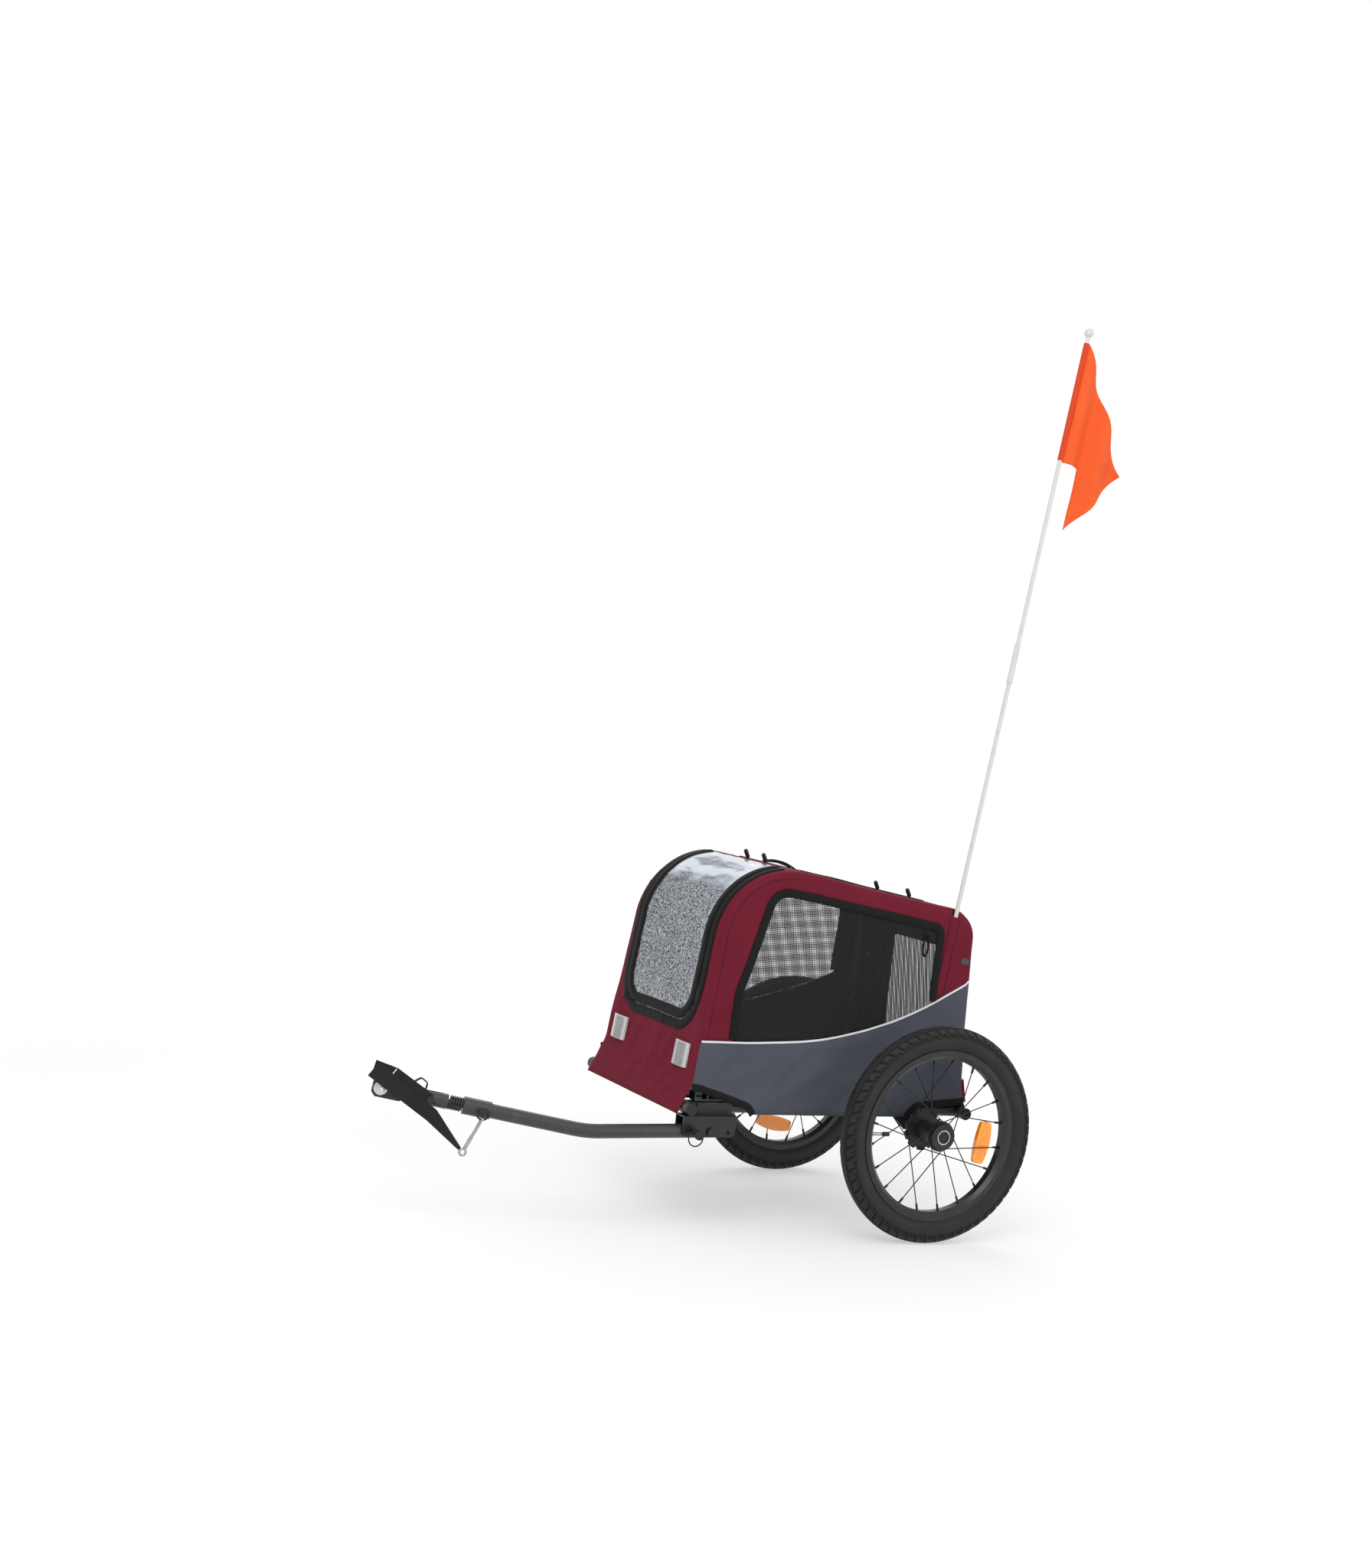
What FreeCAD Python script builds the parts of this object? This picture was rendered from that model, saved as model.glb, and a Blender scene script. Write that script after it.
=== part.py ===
import FreeCAD, Part
import math
import os
import Sketcher
from types import SimpleNamespace
from FreeCAD import Placement, Rotation, Vector

# Dog bike trailer. Millimetres, origin on the ground midway between the tyres, below the axles.
# +X is the trailer's left, -Y its front and +Z up.

DRIVING_SIZES = [
    ("overrun", 5), ("weld_gap", 0.2), ("seat_gap", 0.3), ("running_gap", 0.05),
    # wheels
    ("tyre_radius", 200), ("tyre_width", 46), ("tyre_wall", 3.5), ("tread_groove", 3),
    ("tread_groove_depth", 1.6), ("tread_groove_offset", 7),
    ("track_half", 282), ("bead_radius", 152.5), ("rim_lip", 5), ("rim_width", 27), ("rim_wall", 1.8),
    ("rim_inner_radius", 141), ("rim_bed_width", 14),
    ("spoke_radius", 1), ("nipple_radius", 2.1), ("nipple_length", 13), ("flange_spread", 2.4),
    ("hub_inboard_offset", 46), ("hub_outboard_offset", 14), ("flange_thickness", 4),
    ("inboard_flange_radius", 39), ("outboard_flange_radius", 28), ("flange_hole_inset", 5),
    ("hub_shell_radius", 18), ("hub_cap_radius", 24), ("hub_cap_thickness", 8),
    ("bearing_radius", 14), ("bearing_width", 8), ("axle_radius", 6), ("axle_head_radius", 13.4),
    ("axle_head_thickness", 9), ("button_radius", 11.4), ("button_thickness", 5), ("button_proud", 1.5),
    ("button_travel", 3), ("valve_radius", 3), ("valve_length", 32), ("valve_cap_radius", 4),
    ("valve_cap_length", 12),
    ("spoke_reflector_length", 78), ("spoke_reflector_width", 32), ("spoke_reflector_thickness", 9),
    ("spoke_reflector_inset", 3.4), ("spoke_reflector_reach", 104),
    # base frame
    ("base_tube_radius", 11), ("base_tube_wall", 1.6), ("base_height", 223.5), ("cross_tube_half", 210),
    ("front_tube_setback", 471), ("rear_tube_setback", 109), ("rail_half_spacing", 176),
    ("end_cap_radius", 11.25), ("end_cap_thickness", 4), ("end_cap_stem", 12),
    ("floor_half_width", 160), ("floor_thickness", 5), ("floor_end_inset", 2),
    ("mount_plate_thickness", 3), ("mount_plate_half_length", 36), ("mount_sleeve_radius", 11),
    ("hub_side_gap", 1.5),
    # side frames that fold inwards
    ("hoop_radius", 8), ("hoop_wall", 1.2), ("hinge_pin_radius", 3), ("hinge_ear_thickness", 3),
    ("hinge_ear_gap", 2.8), ("hinge_ear_width", 20), ("hinge_ear_rise", 11), ("hoop_tail", 7.5),
    ("left_hinge_rise", 73.5), ("right_hinge_rise", 49.5), ("left_hoop_inset", 18.5),
    ("right_hoop_inset", 42.5),
    # cover outline, seen from the side
    ("cover_wall", 2), ("hem_height", 213), ("hem_front", 491), ("hem_rear", 126),
    ("knee_height", 275), ("knee_front", 463), ("knee_rear", 108), ("brow_front", 419),
    ("brow_height", 673), ("tail_rear", 107), ("tail_height", 597), ("knee_round", 80),
    ("brow_round", 144), ("tail_round", 55), ("cover_half_width", 192), ("cover_lean", 0.05),
    ("front_cut_rear", 340), ("front_cut_shoulder", 352), ("front_cut_low", 224), ("front_cut_peak", 455),
    ("front_cut_high", 257), ("front_cut_round", 60), ("cut_shoulder_round", 14),
    ("rear_cut_front", 14), ("rear_cut_shoulder", 6), ("rear_cut_low", 231), ("rear_cut_high", 243),
    ("piping_front_height", 341), ("piping_mid_setback", 66), ("piping_mid_height", 388),
    ("piping_rear_height", 482), ("piping_turn_setback", 339), ("mesh_wall", 1),
    ("window_margin", 41),
    ("door_half_width", 140), ("door_round", 55), ("door_gap", 0.3), ("front_door_low", 362),
    ("front_door_top_setback", 306), ("rear_door_low", 300), ("rear_door_drop", 77),
    ("rear_door_half_width", 125),
    ("reflector_width", 50), ("reflector_height", 44), ("reflector_thickness", 9),
    ("reflector_standoff", 0.3),
    ("front_reflector_height", 309), ("front_reflector_spacing", 130), ("rear_reflector_height", 262),
    ("rear_reflector_spacing", 160), ("toggle_radius", 4), ("toggle_length", 19),
    ("front_toggle_spacing", 35), ("rear_toggle_spacing", 58),
    # tow bar
    ("bracket_width", 31), ("bracket_wall", 2.5), ("bracket_length", 106), ("bracket_height", 37),
    ("bracket_front", 485), ("bracket_drop", 0.3), ("bracket_tab_length", 70), ("bracket_tab_height", 20),
    ("bracket_round", 9),
    ("arm_side", 196), ("arm_height", 184), ("arm_radius", 12.5), ("arm_wall", 1.8), ("arm_tail", 20),
    ("pivot_setback", 428), ("pin_spacing", 35), ("pivot_radius", 5), ("bolt_head_radius", 8),
    ("bolt_head_height", 5), ("pin_radius", 4), ("pin_length", 17), ("pin_knob_radius", 9),
    ("pin_knob_length", 12), ("pin_ring_radius", 14), ("pin_ring_wire", 1.2), ("bend_setback", 663),
    ("bend_drop", 4), ("bend_radius", 160), ("hitch_side", 105), ("hitch_setback", 1012),
    ("hitch_height", 231),
    ("clamp_sleeve_length", 48), ("clamp_sleeve_wall", 2.6), ("clamp_bolt_inset", 34),
    ("spring_length", 28), ("spring_radius", 10.5), ("spring_wire", 2.0), ("spring_turns", 5),
    ("spring_core_radius", 5), ("neck_setback", 116.5), ("neck_length", 47), ("neck_radius", 13),
    ("neck_slot_depth", 36),
    ("tang_thickness", 8), ("tang_half_height", 9), ("plate_half_height", 16), ("plate_nose", 14),
    ("plate_length", 50), ("tang_length", 68), ("neck_bolt_radius", 3), ("neck_bolt_inset", 16),
    ("hitch_bolt_radius", 5), ("hitch_bolt_free_end", 22), ("hitch_bolt_relief", 0.5),
    ("washer_radius", 12), ("washer_thickness", 2),
    ("strap_width", 26), ("strap_thickness", 2), ("strap_side", 17), ("strap_top_rise", 32),
    ("strap_top_reach", 21), ("strap_drop", 71), ("strap_back", 154),
    ("ring_radius", 10), ("ring_wire", 1.6), ("snap_barrel_radius", 3.4),
    ("snap_barrel_length", 26), ("snap_wire", 2), ("snap_hook_radius", 5.5), ("snap_eye_radius", 5.5),
    ("snap_bolt_radius", 1.7), ("snap_thumb_radius", 2.5),
    # safety flag
    ("mast_side", 177), ("mast_slit_gap", 1.5), ("mast_radius", 4), ("mast_foot_setback", 12),
    ("mast_rise_at_cover", 587), ("mast_setback_at_cover", 58), ("mast_tip_height", 1702),
    ("ferrule_length", 75), ("ferrule_wall", 1.4), ("ball_radius", 9), ("socket_radius", 8),
    ("socket_height", 26), ("flag_hoist", 232), ("flag_fly", 136), ("flag_droop", 118),
    ("flag_thickness", 1.5), ("flag_top_inset", 14), ("flag_fold_depth", 11), ("notch_radius", 4.5),
]
SPOKE_COUNT = 20
SPOKE_CROSS_TURN = 72
# How far each wheel stands turned, and its reflector from the valve's line, as shares of a full turn.
WHEEL_TURN_SHARES = {"left": 0, "right": -0.256}
REFLECTOR_TURN_SHARE = -0.022

doc = FreeCAD.newDocument("dog_bike_trailer")
sheet = doc.addObject("Spreadsheet::Sheet", "dims")
for row, (alias, value) in enumerate(DRIVING_SIZES, 1):
    sheet.set(f"A{row}", alias)
    sheet.set(f"B{row}", str(value))
    sheet.setAlias(f"B{row}", alias)
doc.recompute()


class Dim:
    """A length that knows its value and the sheet expression that gives it."""

    def __init__(self, value, text):
        self.value = float(value)
        self.text = text

    def __float__(self):
        return self.value

    def __add__(self, other):
        return join(self, "+", other)

    def __radd__(self, other):
        return join(other, "+", self)

    def __sub__(self, other):
        return join(self, "-", other)

    def __rsub__(self, other):
        return join(other, "-", self)

    def __mul__(self, other):
        return join(self, "*", other)

    def __rmul__(self, other):
        return join(other, "*", self)

    def __truediv__(self, other):
        return join(self, "/", other)

    def __neg__(self):
        return Dim(-self.value, f"(-{self.text})")


def as_dim(value):
    return value if isinstance(value, Dim) else Dim(value, repr(float(value)))


def join(left, sign, right):
    left, right = as_dim(left), as_dim(right)
    result = {
        "+": lambda: left.value + right.value,
        "-": lambda: left.value - right.value,
        "*": lambda: left.value * right.value,
        "/": lambda: left.value / right.value,
    }[sign]()
    return Dim(result, f"({left.text} {sign} {right.text})")


d = SimpleNamespace(**{alias: Dim(sheet.get(alias), f"dims.{alias}") for alias, value in DRIVING_SIZES})
finished = []

TURN_TO_X = Rotation(Vector(0, 1, 0), 90)
TURN_TO_Y = Rotation(Vector(1, 0, 0), -90)
HALF_TURN = Rotation(Vector(0, 0, 1), 180)
UPRIGHT = Rotation()
BOTH_SIDES = (("left", 1), ("right", -1))


def keep(label, obj):
    """Register a finished sub-part under the label that names its file."""
    obj.Label = label
    finished.append(obj)
    return obj


def bind(obj, prop, size):
    obj.setExpression(prop, as_dim(size).text)


def place(obj, x, y, z, rotation=UPRIGHT):
    obj.Placement = Placement(Vector(float(x), float(y), float(z)), rotation)
    for axis, size in (("x", x), ("y", y), ("z", z)):
        bind(obj, f"Placement.Base.{axis}", size)
    return obj


def cylinder(radius, height, x, y, z, rotation=UPRIGHT):
    obj = doc.addObject("Part::Cylinder", "rod")
    bind(obj, "Radius", radius)
    bind(obj, "Height", height)
    return place(obj, x, y, z, rotation)


def block(length, width, height, x, y, z, rotation=UPRIGHT):
    obj = doc.addObject("Part::Box", "block")
    bind(obj, "Length", length)
    bind(obj, "Width", width)
    bind(obj, "Height", height)
    return place(obj, x, y, z, rotation)


def cut(base, *tools):
    tool = tools[0]
    if len(tools) > 1:
        tool = fuse(*tools)
    obj = doc.addObject("Part::Cut", "cut")
    obj.Base, obj.Tool = base, tool
    return obj


def common(base, tool):
    obj = doc.addObject("Part::Common", "common")
    obj.Base, obj.Tool = base, tool
    return obj


def fuse(*pieces):
    obj = doc.addObject("Part::MultiFuse", "fuse")
    obj.Shapes = list(pieces)
    return obj


def group(*pieces):
    obj = doc.addObject("Part::Compound", "group")
    obj.Links = list(pieces)
    return obj


def shaped(shape):
    """A free-form piece whose shape the code below works out from the sheet's sizes."""
    obj = doc.addObject("Part::Feature", "shaped")
    obj.Shape = shape
    return obj


def outline_sketch(body, role, points):
    """A closed polygon on an origin plane, each corner bound to the sheet."""
    sketch = body.newObject("Sketcher::SketchObject", "outline")
    plane = [feature for feature in body.Origin.OriginFeatures if feature.Role == role][0]
    sketch.AttachmentSupport = [(plane, "")]
    sketch.MapMode = "FlatFace"
    corners = [Vector(float(a), float(b), 0) for a, b in points]
    count = len(corners)
    for number in range(count):
        sketch.addGeometry(Part.LineSegment(corners[number], corners[(number + 1) % count]), False)
    for number in range(count):
        sketch.addConstraint(Sketcher.Constraint("Coincident", number, 2, (number + 1) % count, 1))
    for number, (a, b) in enumerate(points):
        for kind, axis, size in (("DistanceX", -2, a), ("DistanceY", -1, b)):
            if float(size) == 0:
                sketch.addConstraint(Sketcher.Constraint("PointOnObject", number, 1, axis))
                continue
            index = sketch.addConstraint(Sketcher.Constraint(kind, -1, 1, number, 1, float(size)))
            sketch.setExpression(f"Constraints[{index}]", as_dim(size).text)
    return sketch


def turned_body(points, x, y, z, rotation=UPRIGHT):
    """A solid of revolution about its own X axis from (along, radius) corners."""
    body = doc.addObject("PartDesign::Body", "turned")
    sketch = outline_sketch(body, "XY_Plane", points)
    spin = body.newObject("PartDesign::Revolution", "spin")
    spin.Profile = sketch
    spin.ReferenceAxis = (sketch, ["H_Axis"])
    spin.Angle = 360
    return place(body, x, y, z, rotation)


def padded_body(role, points, thickness, x, y, z, rotation=UPRIGHT):
    """A plate of even thickness, centred on its sketch plane."""
    body = doc.addObject("PartDesign::Body", "plate")
    sketch = outline_sketch(body, role, points)
    pad = body.newObject("PartDesign::Pad", "pad")
    pad.Profile = sketch
    bind(pad, "Length", thickness)
    pad.SideType = "Symmetric"
    return place(body, x, y, z, rotation)


def tube_along(points, radii, section_radius):
    """A round bar along straight runs joined by tangent arcs."""
    wire = rounded_wire(points, radii)
    start = wire.Edges[0]
    along = start.tangentAt(start.FirstParameter)
    circle = Part.Wire(Part.makeCircle(float(section_radius), points[0], along))
    return wire.makePipeShell([circle], True, False)


def rounded_edges(points, radii):
    """Line and arc edges through points, with a tangent arc of the given radius at each corner."""
    edges = []
    last = points[0]
    for number in range(1, len(points) - 1):
        corner = points[number]
        back = (points[number - 1] - corner).normalize()
        ahead = (points[number + 1] - corner).normalize()
        half = back.getAngle(ahead) / 2
        reach = float(radii[number - 1]) / math.tan(half)
        middle = (back + ahead).normalize()
        dip = float(radii[number - 1]) * (1 / math.sin(half) - 1)
        start, end = corner + back * reach, corner + ahead * reach
        edges.append(Part.LineSegment(last, start).toShape())
        edges.append(Part.Arc(start, corner + middle * dip, end).toShape())
        last = end
    edges.append(Part.LineSegment(last, points[-1]).toShape())
    return edges


def rounded_wire(points, radii):
    return Part.Wire(rounded_edges(points, radii))


AXLE_HEIGHT = d.tyre_radius
RAIL_TOP = d.base_height + d.base_tube_radius
RAIL_OUTSIDE = d.rail_half_spacing + d.base_tube_radius + d.weld_gap


def base_frame():
    """Two cross tubes with plugged ends, and two rails coped to them."""
    radius, half = d.base_tube_radius, d.cross_tube_half
    bore = radius - d.base_tube_wall
    caps = []
    for label, y in (("front_cross_tube", -d.front_tube_setback), ("rear_cross_tube", d.rear_tube_setback)):
        tube = cylinder(radius, 2 * half, -half, y, d.base_height, TURN_TO_X)
        inside = cylinder(bore, 2 * (half + d.overrun), -half - d.overrun, y, d.base_height, TURN_TO_X)
        keep(label, cut(tube, inside))
        rim = d.end_cap_radius - d.end_cap_thickness / 4
        outline = [
            (-d.end_cap_stem, 0), (-d.end_cap_stem, bore - d.weld_gap), (0, bore - d.weld_gap),
            (0, d.end_cap_radius), (d.end_cap_thickness / 2, d.end_cap_radius),
            (d.end_cap_thickness, rim), (d.end_cap_thickness, 0),
        ]
        caps.append(turned_body(outline, half, y, d.base_height))
        caps.append(turned_body(outline, -half, y, d.base_height, HALF_TURN))
    keep("tube_end_caps", group(*caps))
    length = d.front_tube_setback + d.rear_tube_setback
    for side, sign in BOTH_SIDES:
        x = sign * d.rail_half_spacing
        rail = cylinder(radius, length, x, -d.front_tube_setback, d.base_height, TURN_TO_Y)
        tools = [cylinder(bore, length, x, -d.front_tube_setback, d.base_height, TURN_TO_Y)]
        for y in (-d.front_tube_setback, d.rear_tube_setback):
            tools.append(cylinder(radius + d.weld_gap, 4 * radius, x - 2 * radius, y, d.base_height,
                                  TURN_TO_X))
        keep(f"{side}_rail", cut(rail, *tools))
    board_length = length - 2 * d.floor_end_inset
    keep("floor_board", block(
        2 * d.floor_half_width, board_length, d.floor_thickness,
        -d.floor_half_width, d.floor_end_inset - d.front_tube_setback, RAIL_TOP))


HUB_INBOARD = d.track_half - d.hub_inboard_offset - d.flange_thickness / 2
HUB_OUTBOARD = d.track_half + d.hub_outboard_offset + d.flange_thickness / 2
HUB_FACE = HUB_OUTBOARD + d.hub_cap_thickness
AXLE_HEAD = HUB_OUTBOARD + d.seat_gap
AXLE_END = AXLE_HEAD + d.axle_head_thickness
BUTTON_DEPTH = d.button_thickness - d.button_proud + d.button_travel + d.seat_gap


def wheel_turn(side):
    return 2 * math.pi * WHEEL_TURN_SHARES[side]


def wheel_mount(side, sign, turn):
    """A plate on the rail's outer side with a sleeve that takes the plug-in axle."""
    middle = RAIL_OUTSIDE + d.mount_plate_thickness / 2
    half, low = d.mount_plate_half_length, AXLE_HEIGHT - d.mount_sleeve_radius
    foot = d.mount_sleeve_radius
    corners = [
        (-half, RAIL_TOP), (-half, d.base_height - d.base_tube_radius), (-foot, low),
        (foot, low), (half, d.base_height - d.base_tube_radius), (half, RAIL_TOP),
    ]
    plate = padded_body("YZ_Plane", corners, d.mount_plate_thickness, sign * middle, 0, 0)
    inner = RAIL_OUTSIDE - 2 * d.mount_sleeve_radius
    outer = HUB_INBOARD - d.hub_side_gap
    start = inner if sign > 0 else -outer
    sleeve = cylinder(d.mount_sleeve_radius, outer - inner, start, 0, AXLE_HEIGHT, TURN_TO_X)
    bore = cylinder(d.axle_radius + d.running_gap, outer - inner + 2 * d.overrun,
                    start - d.overrun, 0, AXLE_HEIGHT, TURN_TO_X)
    keep(f"{side}_wheel_mount", cut(fuse(plate, sleeve), bore))
    button_bore = d.button_radius + d.running_gap
    axle = [
        (inner, 0), (inner, d.axle_radius), (AXLE_HEAD, d.axle_radius), (AXLE_HEAD, d.axle_head_radius),
        (AXLE_END, d.axle_head_radius), (AXLE_END, button_bore), (AXLE_END - BUTTON_DEPTH, button_bore),
        (AXLE_END - BUTTON_DEPTH, 0),
    ]
    keep(f"{side}_axle", turned_body(axle, 0, 0, AXLE_HEIGHT, turn))
    face = AXLE_END + d.button_proud
    groove = [d.button_radius * share for share in BUTTON_GROOVE_SHARES]
    button = [
        (face - d.button_thickness, 0), (face - d.button_thickness, d.button_radius),
        (face - d.button_proud / 2, d.button_radius), (face, d.button_radius - d.button_proud / 2),
        (face, groove[0]), (face - d.button_proud / 2, groove[0]), (face - d.button_proud / 2, groove[1]),
        (face, groove[1]), (face, 0),
    ]
    keep(f"{side}_axle_button", turned_body(button, 0, 0, AXLE_HEIGHT, turn))


BUTTON_GROOVE_SHARES = (0.62, 0.52)


def hub_and_bearings(side, sign, turn):
    """A spool with a scalloped inboard flange, and a bearing in each end."""
    seat, shaft = d.bearing_radius, d.axle_radius + d.running_gap
    core = (d.axle_radius + d.bearing_radius) / 2
    inboard_root, outboard_root = HUB_INBOARD + d.flange_thickness, HUB_OUTBOARD - d.flange_thickness
    recess = d.axle_head_radius + d.seat_gap
    outline = [
        (HUB_INBOARD, seat), (HUB_INBOARD, d.inboard_flange_radius),
        (inboard_root, d.inboard_flange_radius), (inboard_root, d.hub_shell_radius),
        (outboard_root, d.hub_shell_radius), (outboard_root, d.outboard_flange_radius),
        (HUB_OUTBOARD, d.outboard_flange_radius), (HUB_OUTBOARD, d.hub_cap_radius),
        (HUB_FACE, d.hub_cap_radius), (HUB_FACE, recess), (HUB_OUTBOARD, recess), (HUB_OUTBOARD, seat),
        (HUB_OUTBOARD - d.bearing_width, seat), (HUB_OUTBOARD - d.bearing_width, core),
        (HUB_INBOARD + d.bearing_width, core), (HUB_INBOARD + d.bearing_width, seat),
    ]
    shell = turned_body(outline, 0, 0, AXLE_HEIGHT, turn)
    notches = []
    for number in range(SPOKE_COUNT // 2):
        angle = 2 * math.pi * number / (SPOKE_COUNT // 2) + wheel_turn(side)
        start = HUB_INBOARD - d.overrun if sign > 0 else -inboard_root - d.overrun
        reach, rise = d.inboard_flange_radius * math.cos(angle), d.inboard_flange_radius * math.sin(angle)
        notches.append(cylinder(d.notch_radius, d.flange_thickness + 2 * d.overrun, start, reach,
                                AXLE_HEIGHT + rise, TURN_TO_X))
    pieces = [cut(shell, *notches)]
    for start in (HUB_INBOARD, HUB_OUTBOARD - d.bearing_width):
        ring = [
            (start, shaft), (start, seat - d.running_gap), (start + d.bearing_width, seat - d.running_gap),
            (start + d.bearing_width, shaft),
        ]
        pieces.append(turned_body(ring, 0, 0, AXLE_HEIGHT, turn))
    keep(f"{side}_hub", group(*pieces))


def rim(side, sign, turn):
    half, bed, lip = d.rim_width / 2, d.rim_bed_width / 2, d.bead_radius + d.rim_lip
    shoulder, middle = d.bead_radius - d.rim_lip, d.track_half
    outside = [(-half, lip), (-half, shoulder), (-bed, d.rim_inner_radius), (bed, d.rim_inner_radius),
               (half, shoulder), (half, lip)]
    inside = [(half - d.rim_wall, lip), (half - d.rim_wall, shoulder + d.rim_wall),
              (bed, d.rim_inner_radius + d.rim_wall), (-bed, d.rim_inner_radius + d.rim_wall),
              (d.rim_wall - half, shoulder + d.rim_wall), (d.rim_wall - half, lip)]
    hoop = turned_body([(middle + along, radius) for along, radius in outside + inside],
                       0, 0, AXLE_HEIGHT, turn)
    turned = wheel_turn(side)
    reach = -d.rim_inner_radius - d.overrun
    hole = cylinder(d.valve_radius + d.seat_gap, d.rim_inner_radius / 2, sign * middle,
                    reach * math.cos(turned), AXLE_HEIGHT + reach * math.sin(turned),
                    Rotation(Vector(1, 0, 0), math.degrees(turned)).multiply(TURN_TO_Y))
    keep(f"{side}_rim", cut(hoop, hole))


def tyre(side, sign):
    """A hollow casing held by the rim's walls, with the inner tube's valve."""
    half, bead = d.tyre_width / 2, d.bead_radius
    foot = d.rim_width / 2 - d.rim_wall - d.seat_gap
    lip, crown = bead + d.rim_lip + d.seat_gap, d.tyre_radius - half
    bulge_share = 0.78

    def edge(wall):
        side_x, foot_x = half - wall, foot - wall
        mid_x = foot_x + (side_x - foot_x) * bulge_share
        marks = [(foot_x, bead), (foot_x, lip), (mid_x, (lip + crown) / 2), (side_x, crown),
                 (0, d.tyre_radius - wall)]
        return [Vector(float(x), float(r), 0) for x, r in marks]

    def crown_drop(start):
        """How far the crown falls away at the middle of a groove."""
        along = abs(float(start + d.tread_groove / 2))
        return float(half) - math.sqrt(float(half) ** 2 - along ** 2)

    def arc_chain(points):
        bottom, top, bulge, widest, peak = points
        flip = [Vector(-point.x, point.y, 0) for point in points]
        return [
            Part.LineSegment(flip[0], flip[1]), Part.Arc(flip[1], flip[2], flip[3]),
            Part.Arc(flip[3], peak, widest), Part.Arc(widest, bulge, top), Part.LineSegment(top, bottom),
        ]

    outer, inner = edge(0), edge(d.tyre_wall)
    bridge = [Part.LineSegment(outer[0], inner[0]),
              Part.LineSegment(Vector(-outer[0].x, outer[0].y, 0), Vector(-inner[0].x, inner[0].y, 0))]
    curves = arc_chain(outer) + arc_chain(inner) + bridge
    wire = Part.Wire(Part.__sortEdges__([curve.toShape() for curve in curves]))
    casing = Part.Face(wire).revolve(Vector(), Vector(1, 0, 0), 360)
    floor = float(d.tyre_radius - d.tread_groove_depth)
    for start in (-d.tread_groove_offset - d.tread_groove, d.tread_groove_offset):
        base = Vector(float(start), 0, 0)
        outer_disc, inner_disc = [Part.makeCylinder(reach, float(d.tread_groove), base, Vector(1, 0, 0))
                                  for reach in (2 * floor, floor - crown_drop(start))]
        casing = casing.cut(outer_disc.cut(inner_disc))
    stem_start = d.rim_inner_radius + 2 * d.rim_wall
    stem_length = stem_start - d.rim_inner_radius + d.valve_length
    stem = Part.makeCylinder(float(d.valve_radius), float(stem_length), Vector(0, -float(stem_start), 0),
                             Vector(0, 1, 0))
    cap_start = stem_start - stem_length
    cap = Part.makeCylinder(float(d.valve_cap_radius), float(d.valve_cap_length),
                            Vector(0, -float(cap_start) - float(d.valve_cap_length) / 2, 0), Vector(0, 1, 0))
    pieces = Part.makeCompound([casing, stem.fuse(cap).removeSplitter()])
    pieces.rotate(Vector(), Vector(1, 0, 0), math.degrees(wheel_turn(side)))
    pieces.translate(Vector(sign * float(d.track_half), 0, float(AXLE_HEIGHT)))
    keep(f"{side}_tyre", shaped(pieces))


def spokes(side, sign):
    """Two crossed sets, one to each flange, with a nipple at the rim end of every spoke."""
    solids = []
    per_flange = SPOKE_COUNT // 2
    step = 360 / per_flange
    flanges = (
        (HUB_INBOARD + d.flange_thickness / 2, d.inboard_flange_radius, step / 4),
        (HUB_OUTBOARD - d.flange_thickness / 2, d.outboard_flange_radius, 3 * step / 4),
    )
    for along, radius, offset in flanges:
        hole_radius = float(radius - d.flange_hole_inset)
        for number in range(per_flange):
            lead = 1 if number % 2 else -1
            start_angle = math.radians(offset + number * step) + wheel_turn(side)
            end_angle = start_angle + math.radians(lead * SPOKE_CROSS_TURN)
            rim_radius = float(d.rim_inner_radius + d.rim_wall)
            start = Vector(float(along) + lead * float(d.flange_spread), hole_radius * math.cos(start_angle),
                           hole_radius * math.sin(start_angle))
            end = Vector(float(d.track_half), rim_radius * math.cos(end_angle),
                         rim_radius * math.sin(end_angle))
            way = (end - start).normalize()
            rod = Part.makeCylinder(float(d.spoke_radius), start.distanceToPoint(end), start, way)
            nipple_start = end - way * float(d.nipple_length)
            nipple = Part.makeCylinder(float(d.nipple_radius), float(d.nipple_length), nipple_start, way)
            solids.append(rod.fuse(nipple).removeSplitter())
    shape = Part.makeCompound(solids)
    if sign < 0:
        shape = shape.mirror(Vector(), Vector(1, 0, 0))
    shape.translate(Vector(0, 0, float(AXLE_HEIGHT)))
    keep(f"{side}_spokes", shaped(shape))


# Half widths of the reflector at its ends and at its inner edge, as shares of its full half width.
REFLECTOR_END_SHARE = 0.62
REFLECTOR_INNER_SHARE = 0.86


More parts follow.
